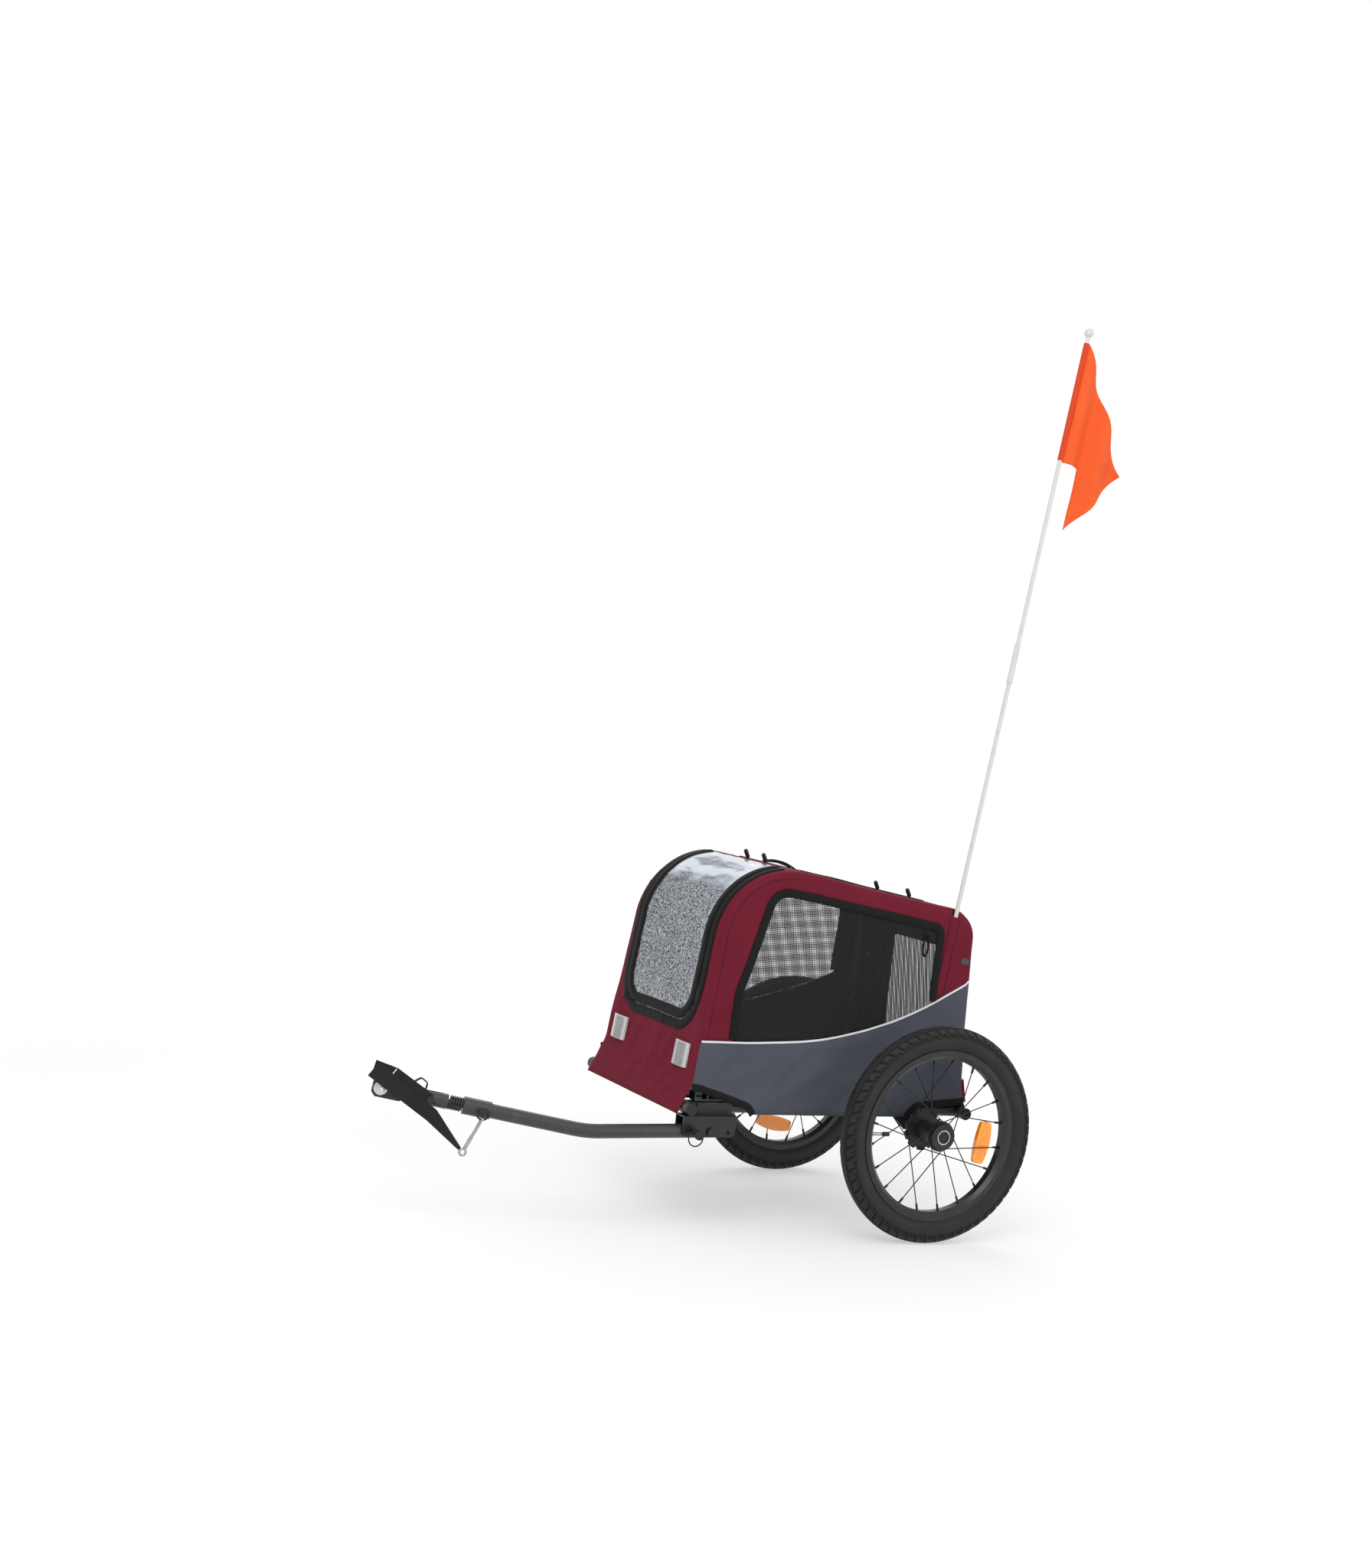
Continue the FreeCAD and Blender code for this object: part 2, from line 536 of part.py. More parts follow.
def spoke_reflector(side, sign):
    """An amber lens, bowed towards the rim, clipped between the two layers of spokes."""
    half, tall = float(d.spoke_reflector_width / 2), float(d.spoke_reflector_length / 2)
    thick, tip = float(d.spoke_reflector_thickness), half * REFLECTOR_END_SHARE
    base = -thick / 2
    ends = [Vector(base, y, z) for y, z in ((tip, -tall), (tip, tall), (-tip, tall), (-tip, -tall))]
    outer, inner = Vector(base, half, 0), Vector(base, -half * REFLECTOR_INNER_SHARE, 0)
    curves = [Part.Arc(ends[0], outer, ends[1]), Part.LineSegment(ends[1], ends[2]),
              Part.Arc(ends[2], inner, ends[3]), Part.LineSegment(ends[3], ends[0])]
    lens = Part.Face(Part.Wire([curve.toShape() for curve in curves])).extrude(Vector(thick, 0, 0))
    corners = [edge for edge in lens.Edges if abs(edge.tangentAt(edge.FirstParameter).x) > 1 - 1e-6]
    lens = lens.makeFillet(tip * REFLECTOR_END_SHARE, corners)
    middle = d.track_half - d.spoke_reflector_inset
    lens.translate(Vector(sign * float(middle), float(d.spoke_reflector_reach), 0))
    turned = wheel_turn(side) + 2 * math.pi * REFLECTOR_TURN_SHARE
    lens.rotate(Vector(), Vector(1, 0, 0), math.degrees(turned))
    lens.translate(Vector(0, 0, float(AXLE_HEIGHT)))
    keep(f"{side}_spoke_reflector", shaped(lens))


def cover_corners(inset):
    """Corners of the cover's side outline, front hem to rear hem, moved inwards by inset."""
    corners = [
        (-d.hem_front, d.hem_height), (-d.knee_front, d.knee_height), (-d.brow_front, d.brow_height),
        (d.tail_rear, d.tail_height), (d.knee_rear, d.knee_height), (d.hem_rear, d.hem_height),
    ]
    points = [Vector(0, float(y), float(z)) for y, z in corners]
    lines = []
    for start, end in zip(points[:-1], points[1:]):
        way = (end - start).normalize()
        inward = Vector(0, way.z, -way.y)
        lines.append((start + inward * float(inset), way))
    moved = [lines[0][0]]
    for (spot, way), (next_spot, next_way) in zip(lines[:-1], lines[1:]):
        gap = next_spot - spot
        cross = way.y * next_way.z - way.z * next_way.y
        travel = (gap.y * next_way.z - gap.z * next_way.y) / cross
        moved.append(spot + way * travel)
    moved.append(lines[-1][0] + lines[-1][1] * points[-2].distanceToPoint(points[-1]))
    return moved


def cover_edges(inset):
    radii = [d.knee_round + inset, d.brow_round - inset, d.tail_round - inset, d.knee_round + inset]
    return rounded_edges(cover_corners(inset), radii)


def half_width_at(height, grow):
    return float(d.cover_half_width + grow) - float(d.cover_lean) * (float(height) - float(d.hem_height))


def leaning_prism(left, right):
    """A block along Y between two leaning planes, each given as (side sign, growth)."""
    low, high = d.hem_height - d.hem_rear, d.brow_height + d.hem_rear
    marks = [(left, low), (right, low), (right, high), (left, high)]
    ring = [Vector(sign * half_width_at(z, grow), float(-2 * d.hem_front), float(z))
            for (sign, grow), z in marks]
    face = Part.Face(Part.makePolygon(ring + ring[:1]))
    return face.extrude(Vector(0, float(4 * d.hem_front), 0))


def along_x(face):
    """Extrude a face drawn in the YZ plane across the whole width."""
    width = 2 * float(d.cover_half_width)
    solid = face.extrude(Vector(2 * width, 0, 0))
    solid.translate(Vector(-width, 0, 0))
    return solid


def wall_strip(outer, inner):
    """The cloth between two matching runs of edges."""
    ends = [Part.LineSegment(outer[0].Vertexes[0].Point, inner[0].Vertexes[0].Point).toShape(),
            Part.LineSegment(outer[-1].Vertexes[-1].Point, inner[-1].Vertexes[-1].Point).toShape()]
    wire = Part.Wire(Part.__sortEdges__(outer + inner + ends))
    return along_x(Part.Face(wire)).common(leaning_prism((-1, 0), (1, 0)))


def rounded_slab(half_width, half_height, radius, depth, base, rotation):
    """A door blank, thick both ways along its normal: round corners below, a straight hinge edge on top."""
    wide, tall, bend = float(half_width), float(half_height), float(radius)
    loop = [Vector(wide, tall, 0), Vector(wide, -tall, 0), Vector(-wide, -tall, 0), Vector(-wide, tall, 0)]
    edges = rounded_edges(loop, [bend] * 2)
    edges.append(Part.LineSegment(loop[-1], loop[0]).toShape())
    face = Part.Face(Part.Wire(edges))
    slab = face.extrude(Vector(0, 0, 2 * float(depth)))
    slab.translate(Vector(0, 0, -float(depth)))
    slab.Placement = Placement(base, rotation).multiply(slab.Placement)
    return slab


def door_frame(low, high):
    """Middle, half height and turn of a door whose chord joins two points of the cover outline."""
    chord = (high - low).normalize()
    across = Vector(1, 0, 0)
    return (low + high) * 0.5, low.distanceToPoint(high) / 2, Rotation(across, chord, across.cross(chord))


def point_at(edges, axis, value):
    """The outline's point with the given y or z, on a straight edge or an arc."""
    for edge in edges:
        ends = [getattr(vertex.Point, axis) for vertex in edge.Vertexes]
        if min(ends) <= float(value) <= max(ends):
            first, last = edge.FirstParameter, edge.LastParameter
            rising = getattr(edge.valueAt(last), axis) > getattr(edge.valueAt(first), axis)
            for step in range(50):
                middle = (first + last) / 2
                below = getattr(edge.valueAt(middle), axis) < float(value)
                if below == rising:
                    first = middle
                else:
                    last = middle
            return edge.valueAt((first + last) / 2)
    raise ValueError(f"the cover outline has no point at {axis} {float(value)}")


def cover_ends_and_roof():
    outer, inner = cover_edges(0), cover_edges(d.cover_wall)
    front = wall_strip(outer[0:4], inner[0:4])
    roof = wall_strip(outer[4:5], inner[4:5])
    rear = wall_strip(outer[5:9], inner[5:9])
    low = point_at(outer[1:4], "z", d.front_door_low)
    high = point_at(outer[1:4], "y", -d.front_door_top_setback)
    middle, half, turn = door_frame(low, high)
    hole = rounded_slab(d.door_half_width, half, d.door_round, d.brow_round, middle, turn)
    leaf = rounded_slab(d.door_half_width - d.door_gap, half - float(d.door_gap), d.door_round - d.door_gap,
                        d.brow_round, middle, turn)
    keep("front_panel", shaped(front.cut(hole)))
    keep("front_door", shaped(front.common(leaf)))
    keep("roof_panel", shaped(roof))
    low = point_at(outer[5:8], "z", d.rear_door_low)
    high = point_at(outer[5:8], "z", d.tail_height - d.rear_door_drop)
    middle, half, turn = door_frame(low, high)
    hole = rounded_slab(d.rear_door_half_width, half, d.door_round, d.tail_round, middle, turn)
    leaf = rounded_slab(d.rear_door_half_width - d.door_gap, half - float(d.door_gap),
                        d.door_round - d.door_gap, d.tail_round, middle, turn)
    keep("rear_panel", shaped(rear.cut(hole)))
    keep("rear_door", shaped(rear.common(leaf)))


# The side window's corners: shares of the cover's length and, low down, of the height above the piping.
WINDOW_FRONT_SHARES = [(0.121, -0.3), (0.132, 0.268)]
WINDOW_TOP_SHARES = [0.235, 0.865]
WINDOW_REAR_SHARES = (0.845, -0.3)
WINDOW_ROUND_SHARES = [0.3, 0.115, 0.055]


def window_face(inset):
    length = float(d.knee_front + d.tail_rear)
    height = float(d.brow_height - d.piping_front_height)

    def low_mark(along, up):
        return Vector(0, along * length - float(d.knee_front), up * height + float(d.piping_front_height))

    brow, tail = cover_corners(d.window_margin)[2:4]
    top = []
    for along in WINDOW_TOP_SHARES:
        y = along * length - float(d.knee_front)
        top.append(Vector(0, y, brow.z + (tail.z - brow.z) * (y - brow.y) / (tail.y - brow.y)))
    points = [low_mark(*share) for share in WINDOW_FRONT_SHARES] + top + [low_mark(*WINDOW_REAR_SHARES)]
    edges = rounded_edges(points, [share * height for share in WINDOW_ROUND_SHARES])
    edges.append(Part.LineSegment(points[-1], points[0]).toShape())
    face = Part.Face(Part.Wire(edges))
    return face.makeOffset2D(-float(inset)) if float(inset) else face


def below_piping():
    """Everything under the curved line where the side's two cloths meet."""
    far = float(d.hem_front + d.hem_rear)
    start = Vector(0, -far, float(d.piping_front_height))
    turn = Vector(0, -float(d.piping_turn_setback), float(d.piping_front_height))
    middle = Vector(0, -float(d.piping_mid_setback), float(d.piping_mid_height))
    end = Vector(0, float(d.hem_rear), float(d.piping_rear_height))
    lower_rear, lower_front = Vector(0, end.y, 0), Vector(0, start.y, 0)
    edges = [
        Part.LineSegment(start, turn), Part.Arc(turn, middle, end), Part.LineSegment(end, lower_rear),
        Part.LineSegment(lower_rear, lower_front), Part.LineSegment(lower_front, start),
    ]
    return along_x(Part.Face(Part.Wire([edge.toShape() for edge in edges])))


def mast_line():
    foot = Vector(float(d.mast_side), float(d.mast_foot_setback), float(RAIL_TOP + 2 * d.seat_gap))
    upper = Vector(float(d.mast_side), float(d.mast_setback_at_cover), float(d.mast_rise_at_cover))
    return foot, (upper - foot).normalize()


def hem_cut(marks, radii):
    """A cut in the sides' hem from (y, z) corners, its inner corners rounded and its lower side straight."""
    points = [Vector(0, float(y), float(z)) for y, z in marks]
    edges = rounded_edges(points, radii) + [Part.LineSegment(points[-1], points[0]).toShape()]
    return along_x(Part.Face(Part.Wire(edges)))


def front_cut():
    """Where the front tube and the tow bracket come out: high at the corner, sloping down rearwards."""
    low, front = d.hem_height - d.overrun, -d.hem_front - d.overrun
    return hem_cut([(front, low), (front, d.front_cut_high), (-d.front_cut_peak, d.front_cut_high),
                    (-d.front_cut_shoulder, d.front_cut_low), (-d.front_cut_rear, low)],
                   [d.overrun, d.front_cut_round, d.cut_shoulder_round])


def rear_cut():
    """Where the rear tube comes out, next to the wheel's mount."""
    low, rear = d.hem_height - d.overrun, d.hem_rear + d.overrun
    return hem_cut([(-d.rear_cut_front, low), (d.rear_cut_shoulder, d.rear_cut_low), (rear, d.rear_cut_high),
                    (rear, low)], [d.cut_shoulder_round, d.overrun])


def cover_sides():
    outer = cover_edges(0)
    hem = Part.LineSegment(outer[-1].Vertexes[-1].Point, outer[0].Vertexes[0].Point).toShape()
    whole = along_x(Part.Face(Part.Wire(Part.__sortEdges__(outer + [hem]))))
    whole = whole.cut(front_cut()).cut(rear_cut())
    low = below_piping()
    opening, pane = along_x(window_face(0)), along_x(window_face(d.seat_gap))
    foot, rise = mast_line()
    slit = Part.makeCylinder(float(d.mast_radius + d.mast_slit_gap), float(d.mast_tip_height), foot, rise)
    near, far = d.seat_gap, d.seat_gap + d.cover_wall
    for side, sign in BOTH_SIDES:
        cloth = whole.common(leaning_prism((sign, near), (sign, far)))
        if sign > 0:
            cloth = cloth.cut(slit)
        keep(f"{side}_skirt", shaped(cloth.common(low)))
        keep(f"{side}_side_panel", shaped(cloth.cut(low).cut(opening)))
        net = whole.common(leaning_prism((sign, near), (sign, near + d.mesh_wall)))
        keep(f"{side}_window", shaped(net.cut(low).common(pane)))


def hoop_hinges(inset, height):
    """Where the two legs of a side frame meet their hinge pins."""
    corners = cover_corners(inset)
    edges = rounded_edges(corners, [d.knee_round + inset, d.brow_round - inset, d.tail_round - inset,
                                    d.knee_round + inset])
    return point_at(edges[:3], "z", height), point_at(edges[6:], "z", height), corners


def side_frames():
    """Two bent tubes that stand on pinned ears; the right one nests inside the left when folded."""
    brackets, pins = [], []
    for side, sign, inset, height in (("left", 1, d.left_hoop_inset, RAIL_TOP + d.left_hinge_rise),
                                      ("right", -1, d.right_hoop_inset, RAIL_TOP + d.right_hinge_rise)):
        front, rear, corners = hoop_hinges(inset, height)
        tail = Vector(0, 0, float(d.hoop_tail))
        route = [front - tail, corners[2], corners[3], rear - tail]
        radii = [d.brow_round - inset, d.tail_round - inset]
        bore = tube_along(route, radii, d.hoop_radius - d.hoop_wall)
        bar = tube_along(route, radii, d.hoop_radius).cut(bore)
        for spot in (front, rear):
            half = float(d.hoop_radius + d.hinge_ear_gap + d.hinge_ear_thickness)
            drill = Part.makeCylinder(float(d.hinge_pin_radius + d.running_gap), 2 * half,
                                      spot - Vector(0, half, 0), Vector(0, 1, 0))
            bar = bar.cut(drill)
            x = sign * float(d.rail_half_spacing)
            pin_end = Vector(x, spot.y - half, spot.z)
            pins.append(Part.makeCylinder(float(d.hinge_pin_radius), 2 * half, pin_end, Vector(0, 1, 0)))
            brackets.append(hinge_bracket(x, spot))
        lean = math.degrees(math.atan(float(d.cover_lean)))
        bar.rotate(Vector(0, 0, float(height)), Vector(0, 1, 0), -sign * lean)
        bar.translate(Vector(sign * float(d.rail_half_spacing), 0, 0))
        keep(f"{side}_side_frame", shaped(bar))
    keep("side_frame_hinges", shaped(Part.makeCompound(brackets + pins)))


def hinge_bracket(x, spot):
    """Two ears on a plate that sits on the rail."""
    wide, ear = float(d.hinge_ear_width), float(d.hinge_ear_thickness)
    gap = float(d.hoop_radius + d.hinge_ear_gap)
    top, bottom = spot.z + float(d.hinge_ear_rise), float(RAIL_TOP)
    parts = [Part.makeBox(wide, 2 * gap, ear, Vector(x - wide / 2, spot.y - gap, bottom))]
    for y in (spot.y - gap - ear, spot.y + gap):
        parts.append(Part.makeBox(wide, ear, top - bottom, Vector(x - wide / 2, y, bottom)))
    solid = parts[0].fuse(parts[1:]).removeSplitter()
    rounded = [edge for edge in solid.Edges if abs(edge.tangentAt(edge.FirstParameter).y) > 1 - 1e-6
               and edge.Vertexes[0].Z > spot.z]
    solid = solid.makeFillet(wide * EAR_ROUND_SHARE, rounded)
    drill = Part.makeCylinder(float(d.hinge_pin_radius), 4 * gap, Vector(x, spot.y - 2 * gap, spot.z),
                              Vector(0, 1, 0))
    return solid.cut(drill)


EAR_ROUND_SHARE = 0.4


REFLECTOR_EDGE_SHARE = 0.55


def reflector(base, rotation):
    """A lens with a flat back, thin sides and a face bowed across its width."""
    half, tall = float(d.reflector_width / 2), float(d.reflector_height / 2)
    thick = float(d.reflector_thickness)
    edge = thick * REFLECTOR_EDGE_SHARE
    marks = [Vector(x, -tall, z) for x, z in ((-half, 0), (half, 0), (half, edge), (-half, edge))]
    sides = [Part.LineSegment(marks[k], marks[(k + 1) % 4]) for k in (3, 0, 1)]
    bow = Part.Arc(marks[2], Vector(0, -tall, thick), marks[3])
    profile = Part.Wire([curve.toShape() for curve in sides + [bow]])
    solid = Part.Face(profile).extrude(Vector(0, 2 * tall, 0))
    solid.Placement = Placement(base, rotation).multiply(solid.Placement)
    return solid


TOGGLE_LEAN_SHARE = 0.1


def toggle(spot, upward):
    """A rounded rod that stands on the roof and leans forwards by a share of a full turn."""
    radius = float(d.toggle_radius)
    foot = spot + upward * radius
    way = Rotation(Vector(1, 0, 0), 360 * TOGGLE_LEAN_SHARE).multVec(upward)
    length = float(d.toggle_length - 2 * d.toggle_radius)
    rod = Part.makeCylinder(radius, length, foot, way)
    tips = [Part.makeSphere(radius, spot) for spot in (foot, foot + way * length)]
    return rod.fuse(tips).removeSplitter()


def cover_fittings():
    edges = cover_edges(-d.seat_gap)
    across = Vector(1, 0, 0)
    sets = (
        ("front_reflectors", edges[0:4], d.front_reflector_height, d.front_reflector_spacing, -1),
        ("rear_reflectors", edges[6:9], d.rear_reflector_height, d.rear_reflector_spacing, 1),
    )
    size = float(d.reflector_height) / 2
    for label, run, height, spacing, facing in sets:
        upper, lower = point_at(run, "z", height + size), point_at(run, "z", height - size)
        upward = (upper - lower).normalize()
        outward = Vector(0, facing * upward.z, -facing * upward.y)
        turn = Rotation(upward.cross(outward), upward, outward)
        middle = (upper + lower) * 0.5 + outward * float(d.reflector_standoff)
        solids = [reflector(middle + across * sign * float(spacing), turn) for side, sign in BOTH_SIDES]
        keep(label, shaped(Part.makeCompound(solids)))
    run = edges[4]
    way = run.tangentAt(run.FirstParameter)
    upward = Vector(0, -way.z, way.y)
    solids = []
    for share, spacing in zip(TOGGLE_SHARES, (d.front_toggle_spacing, d.rear_toggle_spacing)):
        spot = run.valueAt(run.FirstParameter + share * (run.LastParameter - run.FirstParameter))
        solids += [toggle(spot + across * sign * float(spacing), upward) for side, sign in BOTH_SIDES]
    keep("roof_toggles", shaped(Part.makeCompound(solids)))


# Where the toggles stand along the roof's straight run; the front pair is just ahead of it.
TOGGLE_SHARES = (-0.03, 0.9)


def bored_rod(outer, inner, start, end):
    way = (end - start).normalize()
    length = start.distanceToPoint(end)
    rod = Part.makeCylinder(float(outer), length, start, way)
    return rod.cut(Part.makeCylinder(float(inner), length, start, way)) if inner else rod


def tow_bracket():
    """A channel open at the bottom, with pivot, lock and stowing holes in line."""
    half, wall, tall = d.bracket_width / 2, d.bracket_wall, d.bracket_height
    top = d.base_height - d.base_tube_radius - d.bracket_drop
    corners = [(-half, -tall), (-half, 0), (half, 0), (half, -tall), (half - wall, -tall),
               (half - wall, -wall), (wall - half, -wall), (wall - half, -tall)]
    channel = padded_body("XZ_Plane", corners, d.bracket_length, d.arm_side,
                          d.bracket_length / 2 - d.bracket_front, top)
    rear, foot = d.bracket_length - d.bracket_front, top - tall
    loop = [Vector(0, float(y), float(z)) for y, z in (
        (-d.bracket_front, top), (-d.bracket_front, foot), (rear, foot), (rear, top))]
    edges = rounded_edges(loop, [d.bracket_round] * 2) + [Part.LineSegment(loop[-1], loop[0]).toShape()]
    blank = Part.Face(Part.Wire(edges)).extrude(Vector(float(d.bracket_width), 0, 0))
    blank.translate(Vector(float(d.arm_side - half), 0, 0))
    channel = common(channel, shaped(blank))
    tab = block(d.mount_plate_thickness, d.bracket_tab_length, d.bracket_tab_height, RAIL_OUTSIDE,
                rear - d.bracket_tab_length, top)
    holes = []
    reach, start = d.bracket_width + 2 * d.overrun, d.arm_side - half - d.overrun
    for offset, size in ((0, d.pivot_radius), (-d.pin_spacing, d.pin_radius), (d.pin_spacing, d.pin_radius)):
        holes.append(cylinder(size + d.running_gap, reach, start, offset - d.pivot_setback, d.arm_height,
                              TURN_TO_X))
    keep("tow_bracket", cut(fuse(channel, tab), *holes))
    edge, head = half + d.weld_gap, d.bolt_head_height
    bolt = [(-edge - head, 0), (-edge - head, d.bolt_head_radius), (-edge, d.bolt_head_radius),
            (-edge, d.pivot_radius), (edge, d.pivot_radius), (edge, d.bolt_head_radius),
            (edge + head, d.bolt_head_radius), (edge + head, 0)]
    keep("tow_pivot_bolt", turned_body(bolt, d.arm_side, -d.pivot_setback, d.arm_height))
    nose = d.arm_radius + d.seat_gap
    knob = nose + d.pin_length
    grip = d.pin_knob_length
    pin = [(nose, 0), (nose, d.pin_radius - d.running_gap), (knob, d.pin_radius - d.running_gap),
           (knob, d.pin_knob_radius * PIN_NECK_SHARE), (knob + grip / 2, d.pin_knob_radius),
           (knob + grip, d.pin_knob_radius), (knob + grip, 0)]
    y = -d.pivot_setback - d.pin_spacing
    knob_body = turned_body(pin, d.arm_side, y, d.arm_height)
    ring = doc.addObject("Part::Torus", "ring")
    bind(ring, "Radius1", d.pin_ring_radius)
    bind(ring, "Radius2", d.pin_ring_wire)
    drop = d.pin_ring_radius - d.pin_ring_wire - d.pin_radius
    place(ring, d.arm_side + knob - 2 * d.pin_ring_wire, y, d.arm_height - drop, TURN_TO_X)
    keep("lock_pin", group(knob_body, ring))


PIN_NECK_SHARE = 0.65


def arm_frame():
    """Bend, hitch centre and the tow bar's own axes: along, across and up."""
    bend = Vector(float(d.arm_side), -float(d.bend_setback), float(d.arm_height - d.bend_drop))
    hitch = Vector(float(d.hitch_side), -float(d.hitch_setback), float(d.hitch_height))
    along = (hitch - bend).normalize()
    across = along.cross(Vector(0, 0, 1)).normalize()
    return bend, hitch, along, across, across.cross(along)


def tow_bar():
    bend, hitch, along, across, up = arm_frame()

    def spot(back, side=0, rise=0):
        """A point given from the hitch bolt: back towards the trailer, to the near side and upwards."""
        return hitch - along * float(back) - across * float(side) + up * float(rise)

    neck_back = d.neck_setback
    arm_back = neck_back + d.spring_length
    tail = Vector(float(d.arm_side), float(d.arm_tail - d.pivot_setback), float(d.arm_height))
    route = [tail, bend, spot(arm_back)]
    arm = tube_along(route, [d.bend_radius], d.arm_radius)
    arm = arm.cut(tube_along(route, [d.bend_radius], d.arm_radius - d.arm_wall))
    pivot = Vector(float(d.arm_side - 2 * d.arm_radius), -float(d.pivot_setback), float(d.arm_height))
    sideways, span = Vector(1, 0, 0), float(2 * d.arm_radius)
    arm = arm.cut(Part.makeCylinder(float(d.pivot_radius + d.running_gap), 2 * span, pivot, sideways))
    lock = Vector(float(d.arm_side), pivot.y - float(d.pin_spacing), pivot.z)
    arm = arm.cut(Part.makeCylinder(float(d.pin_radius + d.seat_gap), span, lock, sideways))
    bolt_back = arm_back + d.clamp_bolt_inset
    reach = d.arm_radius + d.clamp_sleeve_wall
    drill = bored_rod(d.neck_bolt_radius, 0, spot(bolt_back, -2 * reach), spot(bolt_back, 2 * reach))
    keep("tow_arm", shaped(arm.cut(drill)))
    sleeve = bored_rod(reach, d.arm_radius + d.running_gap, spot(arm_back + d.clamp_sleeve_length),
                       spot(arm_back))
    keep("clamp_sleeve", shaped(sleeve.cut(drill)))
    shank = bored_rod(d.neck_bolt_radius, 0, spot(bolt_back, -reach - d.bolt_head_height),
                      spot(bolt_back, reach + d.ring_wire * 3 + d.bolt_head_height))
    nut = bored_rod(d.bolt_head_radius, d.neck_bolt_radius, spot(bolt_back, -reach - d.bolt_head_height),
                    spot(bolt_back, -reach))
    head = star_head(spot(bolt_back, reach + d.ring_wire * 3), -across, up)
    keep("clamp_bolt", shaped(shank.fuse([nut, head]).removeSplitter()))
    ring_drop = d.ring_radius - d.ring_wire - d.neck_bolt_radius - d.seat_gap
    ring_side = reach + d.ring_wire * 1.5
    ring_middle = spot(bolt_back, ring_side, -ring_drop)
    keep("strap_ring", shaped(Part.makeTorus(float(d.ring_radius), float(d.ring_wire), ring_middle, across)))
    plug = bored_rod(d.arm_radius - d.arm_wall - d.running_gap, 0, spot(arm_back + d.clamp_bolt_inset / 2),
                     spot(arm_back))
    core = bored_rod(d.spring_core_radius, 0, spot(arm_back), spot(neck_back))
    keep("spring_core", shaped(plug.fuse(core).removeSplitter()))
    keep("coupling_spring", shaped(coil(spot(arm_back - d.spring_wire - d.seat_gap), along, across)))
    neck_front = neck_back - d.neck_length
    bolt_spot = neck_front + d.neck_bolt_inset
    slot_width = float(d.tang_thickness + 2 * d.weld_gap)
    slot_half = float(d.neck_radius + d.overrun)
    slot = Part.makeBox(float(d.neck_slot_depth + d.overrun), 2 * slot_half, slot_width)
    slot.translate(Vector(0, -slot_half, -slot_width / 2))
    turn = Rotation(along, up, across)
    slot.Placement = Placement(spot(neck_front + d.neck_slot_depth), turn).multiply(slot.Placement)

    def cross_hole(back, radius):
        far = 2 * d.neck_radius
        return bored_rod(radius + d.running_gap, 0, spot(back, -far), spot(back, far))

    neck = bored_rod(d.neck_radius, 0, spot(neck_back), spot(neck_front))
    keep("hitch_neck", shaped(neck.cut(slot).cut(cross_hole(bolt_spot, d.neck_bolt_radius))))
    half, low = d.plate_half_height, d.tang_half_height
    rear = d.plate_length - d.plate_nose
    corner = d.plate_nose / 2
    corners = [(-rear - d.tang_length, -low), (-rear - corner, -low), (-rear, -half),
               (d.plate_nose - corner, -half), (d.plate_nose, corner - half), (d.plate_nose, half - corner),
               (d.plate_nose - corner, half),
               (-rear, half), (-rear - corner, low), (-rear - d.tang_length, low)]
    body = padded_body("XY_Plane", corners, d.tang_thickness, d.hitch_side, -d.hitch_setback, d.hitch_height,
                       turn)
    keep("hitch_plate", cut(body, shaped(cross_hole(0, d.hitch_bolt_radius)),
                            shaped(cross_hole(bolt_spot, d.neck_bolt_radius))))
    face = d.neck_radius + d.weld_gap
    ends = d.bolt_head_height
    neck_bolt = [(-face - ends, 0), (-face - ends, 2 * d.neck_bolt_radius), (-face, 2 * d.neck_bolt_radius),
                 (-face, d.neck_bolt_radius), (face, d.neck_bolt_radius), (face, 2 * d.neck_bolt_radius),
                 (face + ends, 2 * d.neck_bolt_radius), (face + ends, 0)]
    outwards = Rotation(-across, along, -up)
    at_neck = spot(bolt_spot)
    keep("neck_bolt", turned_body(neck_bolt, at_neck.x, at_neck.y, at_neck.z, outwards))
    plate = d.tang_thickness / 2
    washer = plate + d.washer_thickness
    groove, stub = plate + d.hitch_bolt_relief, d.hitch_bolt_radius
    end = groove + d.hitch_bolt_free_end
    hitch_bolt = [(-end, 0), (-end, stub), (-groove, stub), (-groove, stub - d.hitch_bolt_relief),
                  (-plate, stub - d.hitch_bolt_relief), (-plate, stub), (plate, stub),
                  (plate, d.washer_radius), (washer, d.washer_radius),
                  (washer, d.bolt_head_radius), (washer + d.bolt_head_height, d.bolt_head_radius),
                  (washer + d.bolt_head_height, 0)]
    keep("hitch_bolt", turned_body(hitch_bolt, d.hitch_side, -d.hitch_setback, d.hitch_height, outwards))
    strap_and_snap(spot, along, across, up, ring_middle)


STAR_POINTS = 6
STAR_NOTCH_SHARE = 0.82


def star_head(base, way, upright):
    """A hand knob with rounded lobes for tightening the clamp."""
    radius = float(d.bolt_head_radius)
    side = way.cross(upright)
    points = []
    for number in range(2 * STAR_POINTS):
        reach = radius * (1 if number % 2 else STAR_NOTCH_SHARE)
        angle = math.pi * number / STAR_POINTS
        points.append(base + upright * reach * math.cos(angle) + side * reach * math.sin(angle))
    face = Part.Face(Part.makePolygon(points + points[:1]))
    return face.extrude(way * float(d.bolt_head_height))


